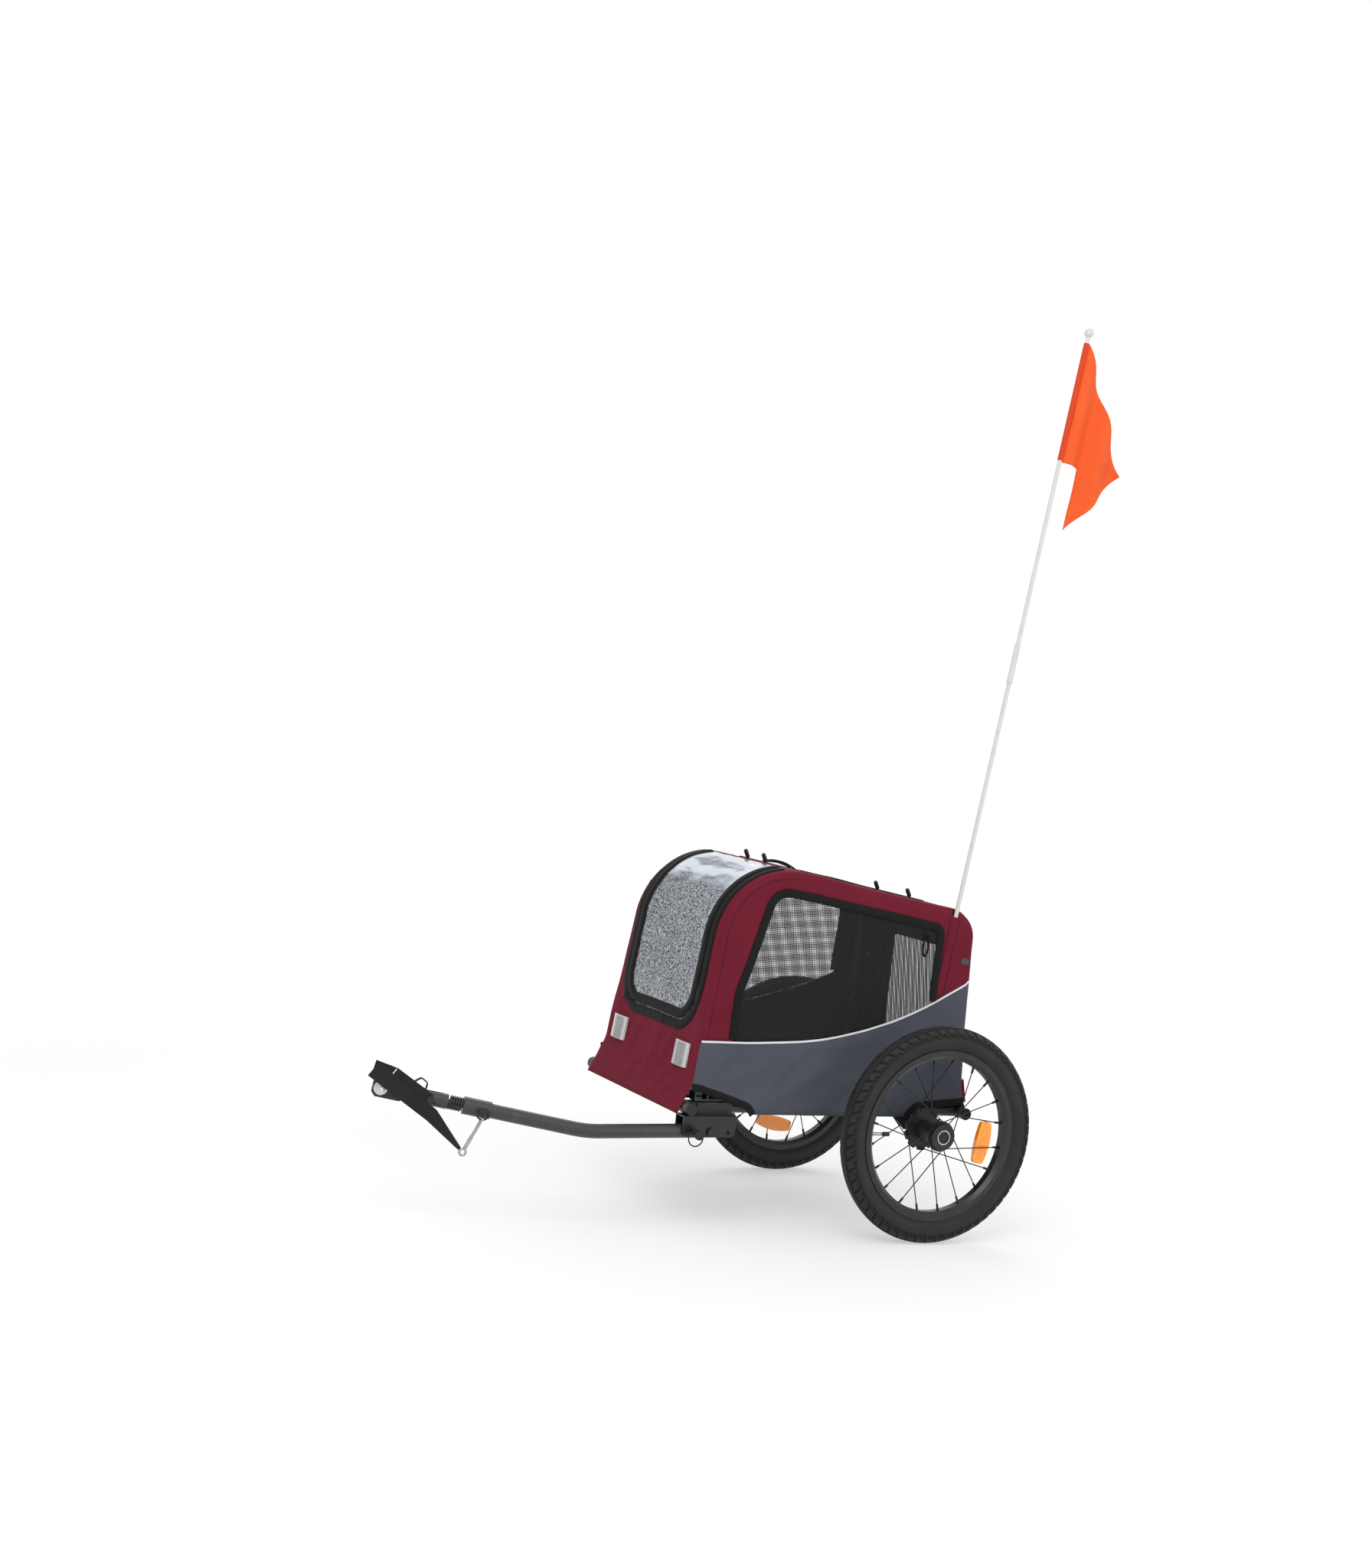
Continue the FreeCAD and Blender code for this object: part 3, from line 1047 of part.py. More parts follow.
def coil(start, along, across):
    """The coupling spring: one unbroken round wire on quarter-turn arcs."""
    up = across.cross(along)
    turns, radius = int(float(d.spring_turns)), float(d.spring_radius)
    length = float(d.spring_length - 2 * (d.spring_wire + d.seat_gap))

    def at(turn):
        angle = 2 * math.pi * turn
        outward = across * math.cos(angle) + up * math.sin(angle)
        return start + along * (length * turn / turns) + outward * radius

    quarter = 0.25
    edges = [Part.Arc(at(quarter * n), at(quarter * (n + 0.5)), at(quarter * (n + 1))).toShape()
             for n in range(int(turns / quarter))]
    wire = Part.Wire(edges)
    first = edges[0]
    circle = Part.Wire(Part.makeCircle(float(d.spring_wire), at(0), first.tangentAt(first.FirstParameter)))
    marks = [at(turn / SPRING_MARKS) for turn in range(turns * SPRING_MARKS + 1)]
    least = min(a.distanceToPoint(b) for number, a in enumerate(marks)
                for b in marks[number + SPRING_MARKS // 2:])
    print("spring's least gap to itself", round(least - 2 * float(d.spring_wire), 2), "mm")
    return wire.makePipeShell([circle], True, False)


SPRING_MARKS = 48


# The strap's width at its fold, bend, end and eyelet, and where its two runs turn.
STRAP_WIDTH_SHARES = (1.15, 0.94, 0.24, 0.75)
STRAP_BEND_SHARES = (0.657, 0.553)
STRAP_LOOP_SHARES = (0.347, 0.09)


def strap_and_snap(spot, along, across, up, ring_middle):
    """The safety strap doubles over beyond the hitch and ends in a bolt snap on the clamp's ring."""
    half, thick = d.strap_width / 2, d.strap_thickness
    side = d.strap_side

    def band(marks, inner):
        """A flat strip along (back, rise, share of the width) marks."""
        spots = [spot(back, inner, rise) for back, rise, share in marks]
        upper, lower = [], []
        for number, (back, rise, share) in enumerate(marks):
            way = (spots[min(number + 1, len(spots) - 1)] - spots[max(number - 1, 0)]).normalize()
            wide = way.cross(across) * float(half) * share
            upper.append(spots[number] + wide)
            lower.insert(0, spots[number] - wide)
        return Part.Face(Part.makePolygon(upper + lower + upper[:1])).extrude(-across * float(thick))

    bolt_spot = d.neck_setback - d.neck_length + d.neck_bolt_inset
    top = (-d.strap_top_reach, d.strap_top_rise)

    def between(end, shares):
        """A mark between the strap's fold and a given end, as shares of the way back and up."""
        return top[0] + (end[0] - top[0]) * shares[0], top[1] + (end[1] - top[1]) * shares[1]

    end, eyelet_spot = (d.strap_back, -d.strap_drop), (bolt_spot, 0)
    bend, rise_over = between(end, STRAP_BEND_SHARES), between(eyelet_spot, STRAP_LOOP_SHARES)
    top_share, bend_share, end_share, eyelet_share = STRAP_WIDTH_SHARES
    front = band([(*top, top_share), (*bend, bend_share), (*end, end_share)], side)
    back = band([(*top, top_share), (*rise_over, bend_share), (*eyelet_spot, eyelet_share)], side - thick)
    eyelet = bored_rod(2 * d.neck_bolt_radius + d.seat_gap, 0, spot(bolt_spot), spot(bolt_spot, 2 * side))
    keep("safety_strap", shaped(front.fuse(back).removeSplitter().cut(eyelet)))
    strap_bend = spot(bend[0], side + thick / 2, bend[1])
    strap_end = spot(d.strap_back, side + thick / 2, -d.strap_drop)
    low_ring = ring_middle - up * float(d.ring_radius)
    wire, hook = float(d.snap_wire), float(d.snap_hook_radius)
    past_end = float(d.snap_eye_radius + d.snap_wire + d.seat_gap)
    eye_middle = strap_end + (strap_end - strap_bend).normalize() * past_end
    way = (low_ring - eye_middle).normalize()
    loop_back = (low_ring - eye_middle).dot(way) - (hook - wire - float(d.ring_wire)) + wire / 2
    barrel_start = eye_middle + way * float(d.snap_eye_radius)
    barrel_end = barrel_start + way * float(d.snap_barrel_length)
    barrel = bored_rod(d.snap_barrel_radius, 0, barrel_start, barrel_end)
    eye_ring = Part.makeTorus(float(d.snap_eye_radius), wire, eye_middle, across)
    loop_top = eye_middle + way * (loop_back + hook)
    mouth = eye_middle + way * (loop_back - hook)
    route = [barrel_end - way * wire, barrel_end + way * hook - across * hook, loop_top - across * hook,
             loop_top + across * hook, mouth + across * hook]
    bends = [wire * 2, hook * ROUND_SHARE, hook * ROUND_SHARE]
    claw = tube_along(route, bends, wire)
    keep("snap_hook", shaped(barrel.fuse([eye_ring, claw]).removeSplitter()))
    bolt_top = mouth + across * hook - way * float(d.seat_gap)
    bolt_foot = barrel_end + across * hook - way * float(d.snap_barrel_length) / 2
    bolt = bored_rod(d.snap_bolt_radius, 0, bolt_foot, bolt_top)
    thumb = bored_rod(d.snap_thumb_radius, 0, bolt_foot + way * float(d.snap_thumb_radius),
                      bolt_foot + way * float(d.snap_thumb_radius) + across * float(2 * d.snap_thumb_radius))
    keep("snap_bolt", shaped(bolt.fuse(thumb).removeSplitter()))


ROUND_SHARE = 0.99


def flag_and_mast():
    foot, rise = mast_line()

    def up_to(height):
        return foot + rise * ((float(height) - foot.z) / rise.z)

    tip = up_to(d.mast_tip_height)
    joint = foot + (tip - foot) * FERRULE_SHARE
    half = rise * float(d.ferrule_length / 2)
    lower = bored_rod(d.mast_radius, 0, foot, joint)
    bore = d.mast_radius + d.running_gap
    ferrule = bored_rod(bore + d.ferrule_wall, bore, joint - half, joint + half)
    keep("mast_lower", shaped(Part.makeCompound([lower, ferrule])))
    keep("mast_upper", shaped(bored_rod(d.mast_radius, 0, joint + rise * float(d.seat_gap), tip)))
    ball = Part.makeSphere(float(d.ball_radius), tip + rise * float(d.ball_radius / 2))
    keep("mast_ball", shaped(ball.cut(bored_rod(bore, 0, foot, tip + rise * float(d.running_gap)))))
    seat = foot - Vector(0, 0, float(2 * d.seat_gap))
    cup = Part.makeCylinder(float(d.socket_radius), float(d.socket_height), seat)
    keep("flag_socket", shaped(cup.cut(bored_rod(d.mast_radius + d.seat_gap, 0, foot, joint))))
    aft = Vector(1, 0, 0).cross(rise) * -1
    hoist, fly, droop = float(d.flag_hoist), float(d.flag_fly), float(d.flag_droop)
    top = tip - rise * float(d.flag_top_inset) + aft * float(d.mast_radius + d.seat_gap)
    marks = [(0, 0), (0, hoist), (fly * FLAG_FOLD_SHARES[0], hoist * FLAG_FOLD_SHARES[1]),
             (fly * FLAG_TIP_SHARES[0], hoist * FLAG_TIP_SHARES[1] + droop), (fly, hoist * FLAG_TURN_SHARE)]
    loop = [top + aft * a - rise * b for a, b in marks]
    across = Vector(1, 0, 0)
    depth = float(d.flag_fold_depth)
    blank = Part.Face(Part.makePolygon(loop + loop[:1])).extrude(across * 4 * depth)
    blank.translate(across * -2 * depth)
    low = top - rise * (hoist + droop + float(d.ball_radius))

    def wavy(offset):
        """One face of the pleated sheet, as a curve from the pole outwards."""
        spots = [low + aft * fly * along + across * (depth * swing + offset)
                 for along, swing in FLAG_PLEAT_SHARES]
        curve = Part.BSplineCurve()
        curve.interpolate(spots)
        return curve.toShape(), spots

    thick = float(d.flag_thickness) / 2
    (near, near_spots), (far, far_spots) = wavy(thick), wavy(-thick)
    ends = [Part.LineSegment(near_spots[k], far_spots[k]).toShape() for k in (0, -1)]
    pleats = Part.Face(Part.Wire(Part.__sortEdges__([near, far] + ends)))
    keep("flag", shaped(pleats.extrude(rise * 2 * (hoist + droop)).common(blank)))


# Across the flag, how far along and how far out of plane its main folds stand.
FLAG_PLEAT_SHARES = [(0, 0), (0.16, 0.55), (0.36, -0.8), (0.58, 1.0), (0.8, -0.75), (1.02, 0.5)]
FERRULE_SHARE = 0.571
FLAG_FOLD_SHARES = (0.3, 1.0)
FLAG_TIP_SHARES = (0.32, 1.0)
FLAG_TURN_SHARE = 0.95


def write_parts():
    doc.recompute()
    for obj in doc.Objects:
        if "Invalid" in obj.State or "Error" in obj.State:
            raise RuntimeError(f"{obj.Label} failed to recompute")
    os.makedirs("parts", exist_ok=True)
    for obj in finished:
        shape = obj.Shape
        if shape.isNull() or not shape.isValid() or not shape.Solids:
            raise RuntimeError(f"{obj.Label} has no valid solid")
        shape.exportStep(f"parts/{obj.Label}.step")
    print(len(finished), "parts written")


base_frame()
for side_name, side_sign in BOTH_SIDES:
    facing = UPRIGHT if side_sign > 0 else HALF_TURN
    wheel_mount(side_name, side_sign, facing)
    hub_and_bearings(side_name, side_sign, facing)
    rim(side_name, side_sign, facing)
    tyre(side_name, side_sign)
    spokes(side_name, side_sign)
    spoke_reflector(side_name, side_sign)
cover_ends_and_roof()
cover_sides()
cover_fittings()
side_frames()
tow_bracket()
tow_bar()
flag_and_mast()
write_parts()
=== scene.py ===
import bmesh
import bpy
import math
from mathutils import Matrix, Vector, noise


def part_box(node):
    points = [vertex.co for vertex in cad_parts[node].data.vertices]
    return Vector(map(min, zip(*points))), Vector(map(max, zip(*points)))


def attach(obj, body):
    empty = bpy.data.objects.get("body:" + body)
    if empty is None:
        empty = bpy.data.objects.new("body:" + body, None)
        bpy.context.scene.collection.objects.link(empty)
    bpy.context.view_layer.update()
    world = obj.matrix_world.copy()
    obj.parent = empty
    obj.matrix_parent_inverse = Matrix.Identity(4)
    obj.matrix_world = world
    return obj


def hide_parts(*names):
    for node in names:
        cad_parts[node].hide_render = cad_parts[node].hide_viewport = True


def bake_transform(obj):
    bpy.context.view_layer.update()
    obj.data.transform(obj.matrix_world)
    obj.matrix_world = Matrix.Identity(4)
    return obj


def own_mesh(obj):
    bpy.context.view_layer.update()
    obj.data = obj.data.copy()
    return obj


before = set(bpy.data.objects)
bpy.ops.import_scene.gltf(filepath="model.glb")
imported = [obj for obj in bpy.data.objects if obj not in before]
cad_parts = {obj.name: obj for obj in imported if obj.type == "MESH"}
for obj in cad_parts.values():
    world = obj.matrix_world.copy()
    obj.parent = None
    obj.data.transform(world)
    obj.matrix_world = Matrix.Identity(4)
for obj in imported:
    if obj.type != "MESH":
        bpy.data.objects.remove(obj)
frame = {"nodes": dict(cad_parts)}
noise.seed_set(11)  # without a seed of its own the noise starts from the clock
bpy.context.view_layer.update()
nodes = frame["nodes"]
scene = bpy.context.scene
print("frame loaded:", len(nodes), "nodes")


# Shader sums: a wire is one socket that can be added, scaled and compared.
class Wire:
    def __init__(self, nodes, out):
        self.nodes, self.out = nodes, out

    def calc(self, how, other=0.0, flip=False):
        first, second = (other, self) if flip else (self, other)
        return self.nodes.add("ShaderNodeMath", {"operation": how}, {0: first, 1: second})

    def __add__(self, other): return self.calc("ADD", other)
    def __radd__(self, other): return self.calc("ADD", other)
    def __sub__(self, other): return self.calc("SUBTRACT", other)
    def __rsub__(self, other): return self.calc("SUBTRACT", other, True)
    def __mul__(self, other): return self.calc("MULTIPLY", other)
    def __rmul__(self, other): return self.calc("MULTIPLY", other)
    def __truediv__(self, other): return self.calc("DIVIDE", other)
    def __lt__(self, other): return self.calc("LESS_THAN", other)
    def sin(self): return self.calc("SINE")
    def abs(self): return self.calc("ABSOLUTE")
    def max(self, other): return self.calc("MAXIMUM", other)
    def min(self, other): return self.calc("MINIMUM", other)
    def wrap(self, size): return self.calc("FLOORED_MODULO", size)
    def held(self): return self.max(0.0).min(1.0)


class Nodes:
    def __init__(self, tree):
        self.tree = tree

    def add(self, kind, settings=None, sockets=None, out=0):
        node = self.tree.nodes.new(kind)
        for key, value in (settings or {}).items():
            setattr(node, key, value)
        for key, value in (sockets or {}).items():
            if isinstance(value, Wire):
                self.tree.links.new(value.out, node.inputs[key])
            else:
                node.inputs[key].default_value = value
        return Wire(self, node.outputs[out])


class Finish(Nodes):
    def __init__(self, name):
        self.mat = bpy.data.materials.new(name)
        self.mat.use_nodes = True
        super().__init__(self.mat.node_tree)
        self.shader = next(n for n in self.tree.nodes if n.type == "BSDF_PRINCIPLED")

    def place(self):
        return self.add("ShaderNodeTexCoord", out=3)

    def faceMap(self):
        return self.add("ShaderNodeTexCoord", out=2)

    def axes(self, spot):
        return [self.add("ShaderNodeSeparateXYZ", None, {0: spot}, out=k) for k in range(3)]

    def grain(self, spot, scale, detail=2.0, rough=0.5):
        sockets = {"Vector": spot, "Scale": scale, "Detail": detail, "Roughness": rough}
        return self.add("ShaderNodeTexNoise", None, sockets)

    def cells(self, spot, size):
        snapped = self.add("ShaderNodeVectorMath", {"operation": "SNAP"}, {0: spot, 1: size})
        return self.add("ShaderNodeTexWhiteNoise", {"noise_dimensions": "3D"}, {"Vector": snapped})

    def mix(self, share, first, second):
        return self.add("ShaderNodeMix", {"data_type": "RGBA"}, {0: share, 6: first, 7: second}, out=2)

    def bump(self, height, strength, distance):
        sockets = {"Strength": strength, "Distance": distance, "Height": height}
        return self.add("ShaderNodeBump", None, sockets)

    def wear(self, **sockets):
        names = {"colour": "Base Color", "rough": "Roughness", "metal": "Metallic", "alpha": "Alpha",
                 "normal": "Normal", "coat": "Coat Weight", "coatRough": "Coat Roughness",
                 "sheen": "Sheen Weight", "specular": "Specular IOR Level"}
        for key, value in sockets.items():
            socket = self.shader.inputs[names[key]]
            if isinstance(value, Wire):
                self.tree.links.new(value.out, socket)
            else:
                socket.default_value = value
        return self.mat


def rgba(r, g, b):
    return (r, g, b, 1.0)


def clothFinish(name, base, pale, sheen=0.05, weave=1900.0, specular=0.2):
    f = Finish(name)
    spot = f.place()
    x, y, z = [(axis * weave).sin() for axis in f.axes(spot)]
    threads = x * z + y * z + x * y
    fade = f.grain(spot, 14.0, 4.0)
    slub = f.grain(spot, 420.0, 2.0)
    tone = (fade - 0.5) * 0.9 + (slub - 0.5) * 0.5 + 0.45
    crease = f.grain(spot, 26.0, 3.0, 0.55)
    return f.wear(colour=f.mix(tone, rgba(*base), rgba(*pale)), rough=0.62 + slub * 0.22, sheen=sheen,
                  specular=specular, normal=f.bump(threads * 0.05 + crease, 0.3, 0.004))


def netFinish(name, thread, pale, period, cover, speckle=0.0, least=0.0):
    # threads along and up the panel, mixed from the axes so that they show on sides, front and rear alike
    f = Finish(name)
    spot = f.place()
    x, y, z = f.axes(spot)
    along = (y * 0.8 + x * 0.6 + z * 0.13).wrap(period)
    up = (z - y * 0.09).wrap(period)
    grid = (along < period * cover).max(up < period * cover)
    flecks = f.grain(spot, 330.0, 2.0, 0.7)
    tone = ((flecks - 0.5) * speckle + 0.42).held() if speckle else flecks * 0.5
    return f.wear(colour=f.mix(tone, rgba(*thread), rgba(*pale)), rough=0.7, alpha=grid.max(least),
                  specular=0.2)


# Where painted glare and painted highlights show on the clear film, in metres: above the top, past the side and
# below the foot.
filmGlare = {"top": 0.604, "side": 0.100, "foot": 0.420}


def filmFinish(name):
    f = Finish(name)
    spot = f.place()
    x, z = f.axes(spot)[::2]
    folds = f.grain(spot, 17.0, 3.0, 0.6)
    small = f.grain(spot, 60.0, 2.0)
    slanted = {"Vector": spot, "Rotation": (0.0, 0.6, 0.0), "Scale": (9.0, 30.0, 46.0)}
    slant = f.add("ShaderNodeMapping", None, slanted)
    glareStreaks = ((f.grain(slant, 1.0, 2.0) - 0.53) * 7.0).held()
    # the film is clear except for painted light: pale and opaque in streaks above the top as painted glare, and
    # wrinkle ridges near the side and foot as painted highlights, paler there
    top = ((z + (folds - 0.5) * 0.03 - filmGlare["top"]) * 60.0).held()
    ridgeHighlight = (1.0 - (small - 0.5).abs() * 24.0).max(0.0)
    edge = ((x.abs() - filmGlare["side"]) * 40.0).max((filmGlare["foot"] - z) * 24.0).held()
    glare = top * (0.9 - glareStreaks * 0.7) + ridgeHighlight * edge * 0.45 + 0.03
    return f.wear(colour=f.mix(edge, rgba(0.60, 0.67, 0.77), rgba(0.85, 0.87, 0.9)), rough=0.08,
                  alpha=glare.min(0.9), coat=0.6, coatRough=0.05,
                  normal=f.bump(folds + small * 0.3, 0.5, 0.008))


def mouldedFinish(name, colour, pale, rough, grainSize=900.0, depth=0.0004, specular=0.35):
    f = Finish(name)
    spot = f.place()
    pits = f.grain(spot, grainSize, 3.0)
    scuff = f.grain(spot, 38.0, 4.0)
    return f.wear(colour=f.mix((scuff - 0.45).max(0.0) * 1.6, rgba(*colour), rgba(*pale)), specular=specular,
                  rough=rough + (pits - 0.5) * 0.25, normal=f.bump(pits, 0.35, depth))


def coatFinish(name, colour, pale, rough):
    f = Finish(name)
    spot = f.place()
    peel = f.grain(spot, 520.0, 2.0)
    scuff = f.grain(spot, 55.0, 5.0, 0.65)
    return f.wear(colour=f.mix((scuff - 0.52).max(0.0) * 1.5, rgba(*colour), rgba(*pale)), metal=0.2, coat=0.15,
                  rough=rough + (scuff - 0.5) * 0.22, coatRough=0.3, normal=f.bump(peel, 0.25, 0.0006))


def platedFinish(name, colour, dark, rough):
    f = Finish(name)
    spot = f.place()
    tarnish = f.grain(spot, 90.0, 4.0, 0.6)
    fine = f.grain(spot, 700.0, 1.0)
    return f.wear(colour=f.mix((tarnish - 0.4).max(0.0) * 1.4, rgba(*colour), rgba(*dark)), metal=1.0,
                  rough=rough + (tarnish - 0.5) * 0.3, normal=f.bump(fine, 0.2, 0.0003))


def lensFinish(name, deep, bright, rim, line):
    # prism cells on the lens's own map, with a pale rim and for clear lenses a dark line down the middle
    f = Finish(name)
    spot = f.faceMap()
    u, v = f.axes(spot)[:2]
    prisms = f.cells(spot, (0.09, 0.06, 1.0))
    wide, tall = (u - 0.5).abs(), (v - 0.5).abs()
    border = ((wide - 0.44) * 30.0).max((tall - 0.46) * 40.0).held()
    streak = (wide - 0.26).max(0.0) * 2.2
    middle = (1.0 - (u - 0.44).abs() * 16.0).max(0.0) * line
    ends = (tall - 0.3).max(0.0) * (1.4 - 1.4 * line)
    tone = (prisms * (0.5 - 0.34 * line) + 0.14 * line + streak - middle * 0.8 + ends).held()
    return f.wear(colour=f.mix(border, f.mix(tone, rgba(*deep), rgba(*bright)), rgba(*rim)), rough=0.12,
                  coat=1.0, coatRough=0.04, normal=f.bump(prisms, 0.08, 0.0006))


def rubberFinish(name, base, pale):
    f = Finish(name)
    spot = f.place()
    dust = f.grain(spot, 24.0, 5.0, 0.6)
    pores = f.grain(spot, 800.0, 2.0)
    return f.wear(colour=f.mix((dust - 0.4).max(0.0) * 1.2, rgba(*base), rgba(*pale)), specular=0.3,
                  rough=0.66 + (dust - 0.5) * 0.25, normal=f.bump(pores, 0.3, 0.0005))


finishes = {
    "upper": clothFinish("burgundy cloth", (0.112, 0.0068, 0.0175), (0.160, 0.0120, 0.0275), 0.0, 1900.0, 0.1),
    "seam": clothFinish("burgundy seam", (0.050, 0.004, 0.009), (0.075, 0.007, 0.014)),
    "lower": clothFinish("slate cloth", (0.056, 0.060, 0.077), (0.084, 0.090, 0.112), 0.0, 1900.0, 0.12),
    # the cover's inside faces are painted near black: painted shade of the closed interior
    "shadedLining": clothFinish("inside painted shade", (0.007, 0.007, 0.008), (0.018, 0.018, 0.020)),
    "binding": clothFinish("black tape", (0.0045, 0.0045, 0.005), (0.012, 0.012, 0.013), 0.02, 2600.0, 0.12),
    "webbing": clothFinish("black webbing", (0.010, 0.010, 0.010), (0.024, 0.024, 0.024), 0.04, 3100.0, 0.15),
    "piping": clothFinish("silver piping", (0.55, 0.56, 0.57), (0.75, 0.76, 0.77), 0.1),
    "flag": clothFinish("orange sheet", (0.72, 0.085, 0.014), (0.82, 0.125, 0.026), 0.0),
    "flagHem": clothFinish("orange hem", (0.55, 0.045, 0.012), (0.66, 0.070, 0.020), 0.0),
    "net": netFinish("window net", (0.016, 0.016, 0.017), (0.05, 0.05, 0.052), 0.0024, 0.26),
    "frontNet": netFinish("front net", (0.022, 0.023, 0.026), (0.46, 0.48, 0.51), 0.0022, 0.36, 7.0, 0.86),
    "film": filmFinish("clear film"),
    "plastic": mouldedFinish("black plastic", (0.009, 0.009, 0.0095), (0.032, 0.032, 0.034), 0.44),
    "core": mouldedFinish("grey core", (0.13, 0.13, 0.135), (0.2, 0.2, 0.205), 0.5),
    "coat": coatFinish("frame coat", (0.020, 0.021, 0.023), (0.06, 0.062, 0.066), 0.42),
    "towCoat": coatFinish("tow coat", (0.030, 0.032, 0.035), (0.075, 0.078, 0.083), 0.42),
    "blackMetal": coatFinish("black metal", (0.008, 0.008, 0.009), (0.036, 0.036, 0.038), 0.36),
    "zinc": platedFinish("zinc plate", (0.62, 0.63, 0.64), (0.3, 0.3, 0.31), 0.3),
    "nickel": platedFinish("nickel plate", (0.46, 0.45, 0.42), (0.2, 0.195, 0.18), 0.24),
    "wireSteel": platedFinish("black wire", (0.035, 0.035, 0.038), (0.015, 0.015, 0.016), 0.34),
    "brass": platedFinish("valve stem", (0.50, 0.45, 0.36), (0.24, 0.21, 0.16), 0.28),
    "rubber": rubberFinish("tyre rubber", (0.012, 0.012, 0.013), (0.036, 0.036, 0.038)),
    # near-black rubber for the tread grooves: painted shade
    "grooveShade": rubberFinish("tread groove painted shade", (0.004, 0.004, 0.004), (0.012, 0.012, 0.012)),
    "clearLens": lensFinish("clear lens", (0.085, 0.09, 0.092), (0.50, 0.52, 0.53), (0.66, 0.67, 0.67), 1.0),
    "redLens": lensFinish("red lens", (0.30, 0.002, 0.005), (0.46, 0.012, 0.014), (0.26, 0.006, 0.006), 0.0),
    "amberLens": lensFinish("amber lens", (0.95, 0.21, 0.001), (1.0, 0.42, 0.010), (0.95, 0.24, 0.002), 0.0),
    "white": mouldedFinish("white glass fibre", (0.60, 0.60, 0.57), (0.48, 0.48, 0.45), 0.35, 500.0, 0.0002),
}
slotOf = {
    "upper": "upper_cloth", "seam": "upper_cloth", "lower": "lower_cloth", "binding": "webbing",
    "webbing": "webbing", "piping": "webbing", "flag": "flag_cloth", "flagHem": "flag_cloth", "net": "net",
    "frontNet": "net", "film": "clear_film", "plastic": "black_plastic", "core": "black_plastic",
    "blackMetal": "black_metal", "zinc": "steel", "brass": "steel", "rubber": "tyre_rubber",
    "clearLens": "clear_lens", "redLens": "red_lens", "amberLens": "amber_lens",
}
sides = {"left": 1, "right": -1}
leftward = Vector((1, 0, 0))
print("finishes made:", len(finishes))


# CAD pieces that keep their shape.
nodeFinish = {
    "coat": ["front_cross_tube", "rear_cross_tube", "left_rail", "right_rail", "left_wheel_mount",
             "right_wheel_mount", "left_side_frame", "right_side_frame", "side_frame_hinges"],
    "towCoat": ["tow_arm", "clamp_sleeve", "hitch_neck"],
    "blackMetal": ["tow_bracket", "left_rim", "right_rim", "hitch_plate", "tow_pivot_bolt", "clamp_bolt",
                   "strap_ring", "neck_bolt"],
    "plastic": ["tube_end_caps", "left_hub", "right_hub", "left_axle_button", "right_axle_button",
                "flag_socket", "floor_board", "lock_pin"],
    "zinc": ["left_axle", "right_axle", "hitch_bolt"],
    "nickel": ["snap_hook", "snap_bolt"],
    "wireSteel": ["left_spokes", "right_spokes"],
    "white": ["mast_lower", "mast_upper", "mast_ball"],
}
for finishName, names in nodeFinish.items():
    for name in names:
        nodes[name].data.materials.clear()
        nodes[name].data.materials.append(finishes[finishName])
print("CAD finishes set")


# The cover's side outline, as (y, z) in metres.
cover = {
    "corners": [(-0.491, 0.213), (-0.463, 0.275), (-0.419, 0.673), (0.107, 0.597), (0.108, 0.275),
                (0.126, 0.213)],
    "bends": [0.080, 0.144, 0.055, 0.080], "middle": (-0.17, 0.43),
    "halfWidth": 0.192, "lean": 0.05, "hem": 0.213, "wall": 0.0023, "cell": 0.012, "merge": 0.0003,
    "foldHeight": 0.336, "keep": 0.09,  # the cloth is cut at this line into a low and a high piece
    "sideDepth": 0.004,  # cloth no deeper than this belongs to a side, the rest to front, roof or rear
    "liningTurn": -0.3, "liningGap": 0.0010,  # faces turned in past this are the cover's inside, painted near black as shade of the closed interior, and lie this much deeper
}
# Corners between the sides and the rest are rounded by "size", and by less of it towards the hem.
softEdge = {"size": 0.012, "least": 0.4, "from": 0.26, "over": 0.12}
# Above "from" the cloth faces away from a line under the roof, which runs from front to rear.
crown = {"from": 0.50, "front": -0.29, "rear": 0.05, "under": 0.48}
# Slack that all layers share, as a height and a fineness, growing from the hem upwards.
slack = {"wide": (0.0024, 7.5), "small": (0.0009, 21.0), "shift": Vector((3.1, 1.7, 0.4)), "from": 0.21,
         "over": 0.05}
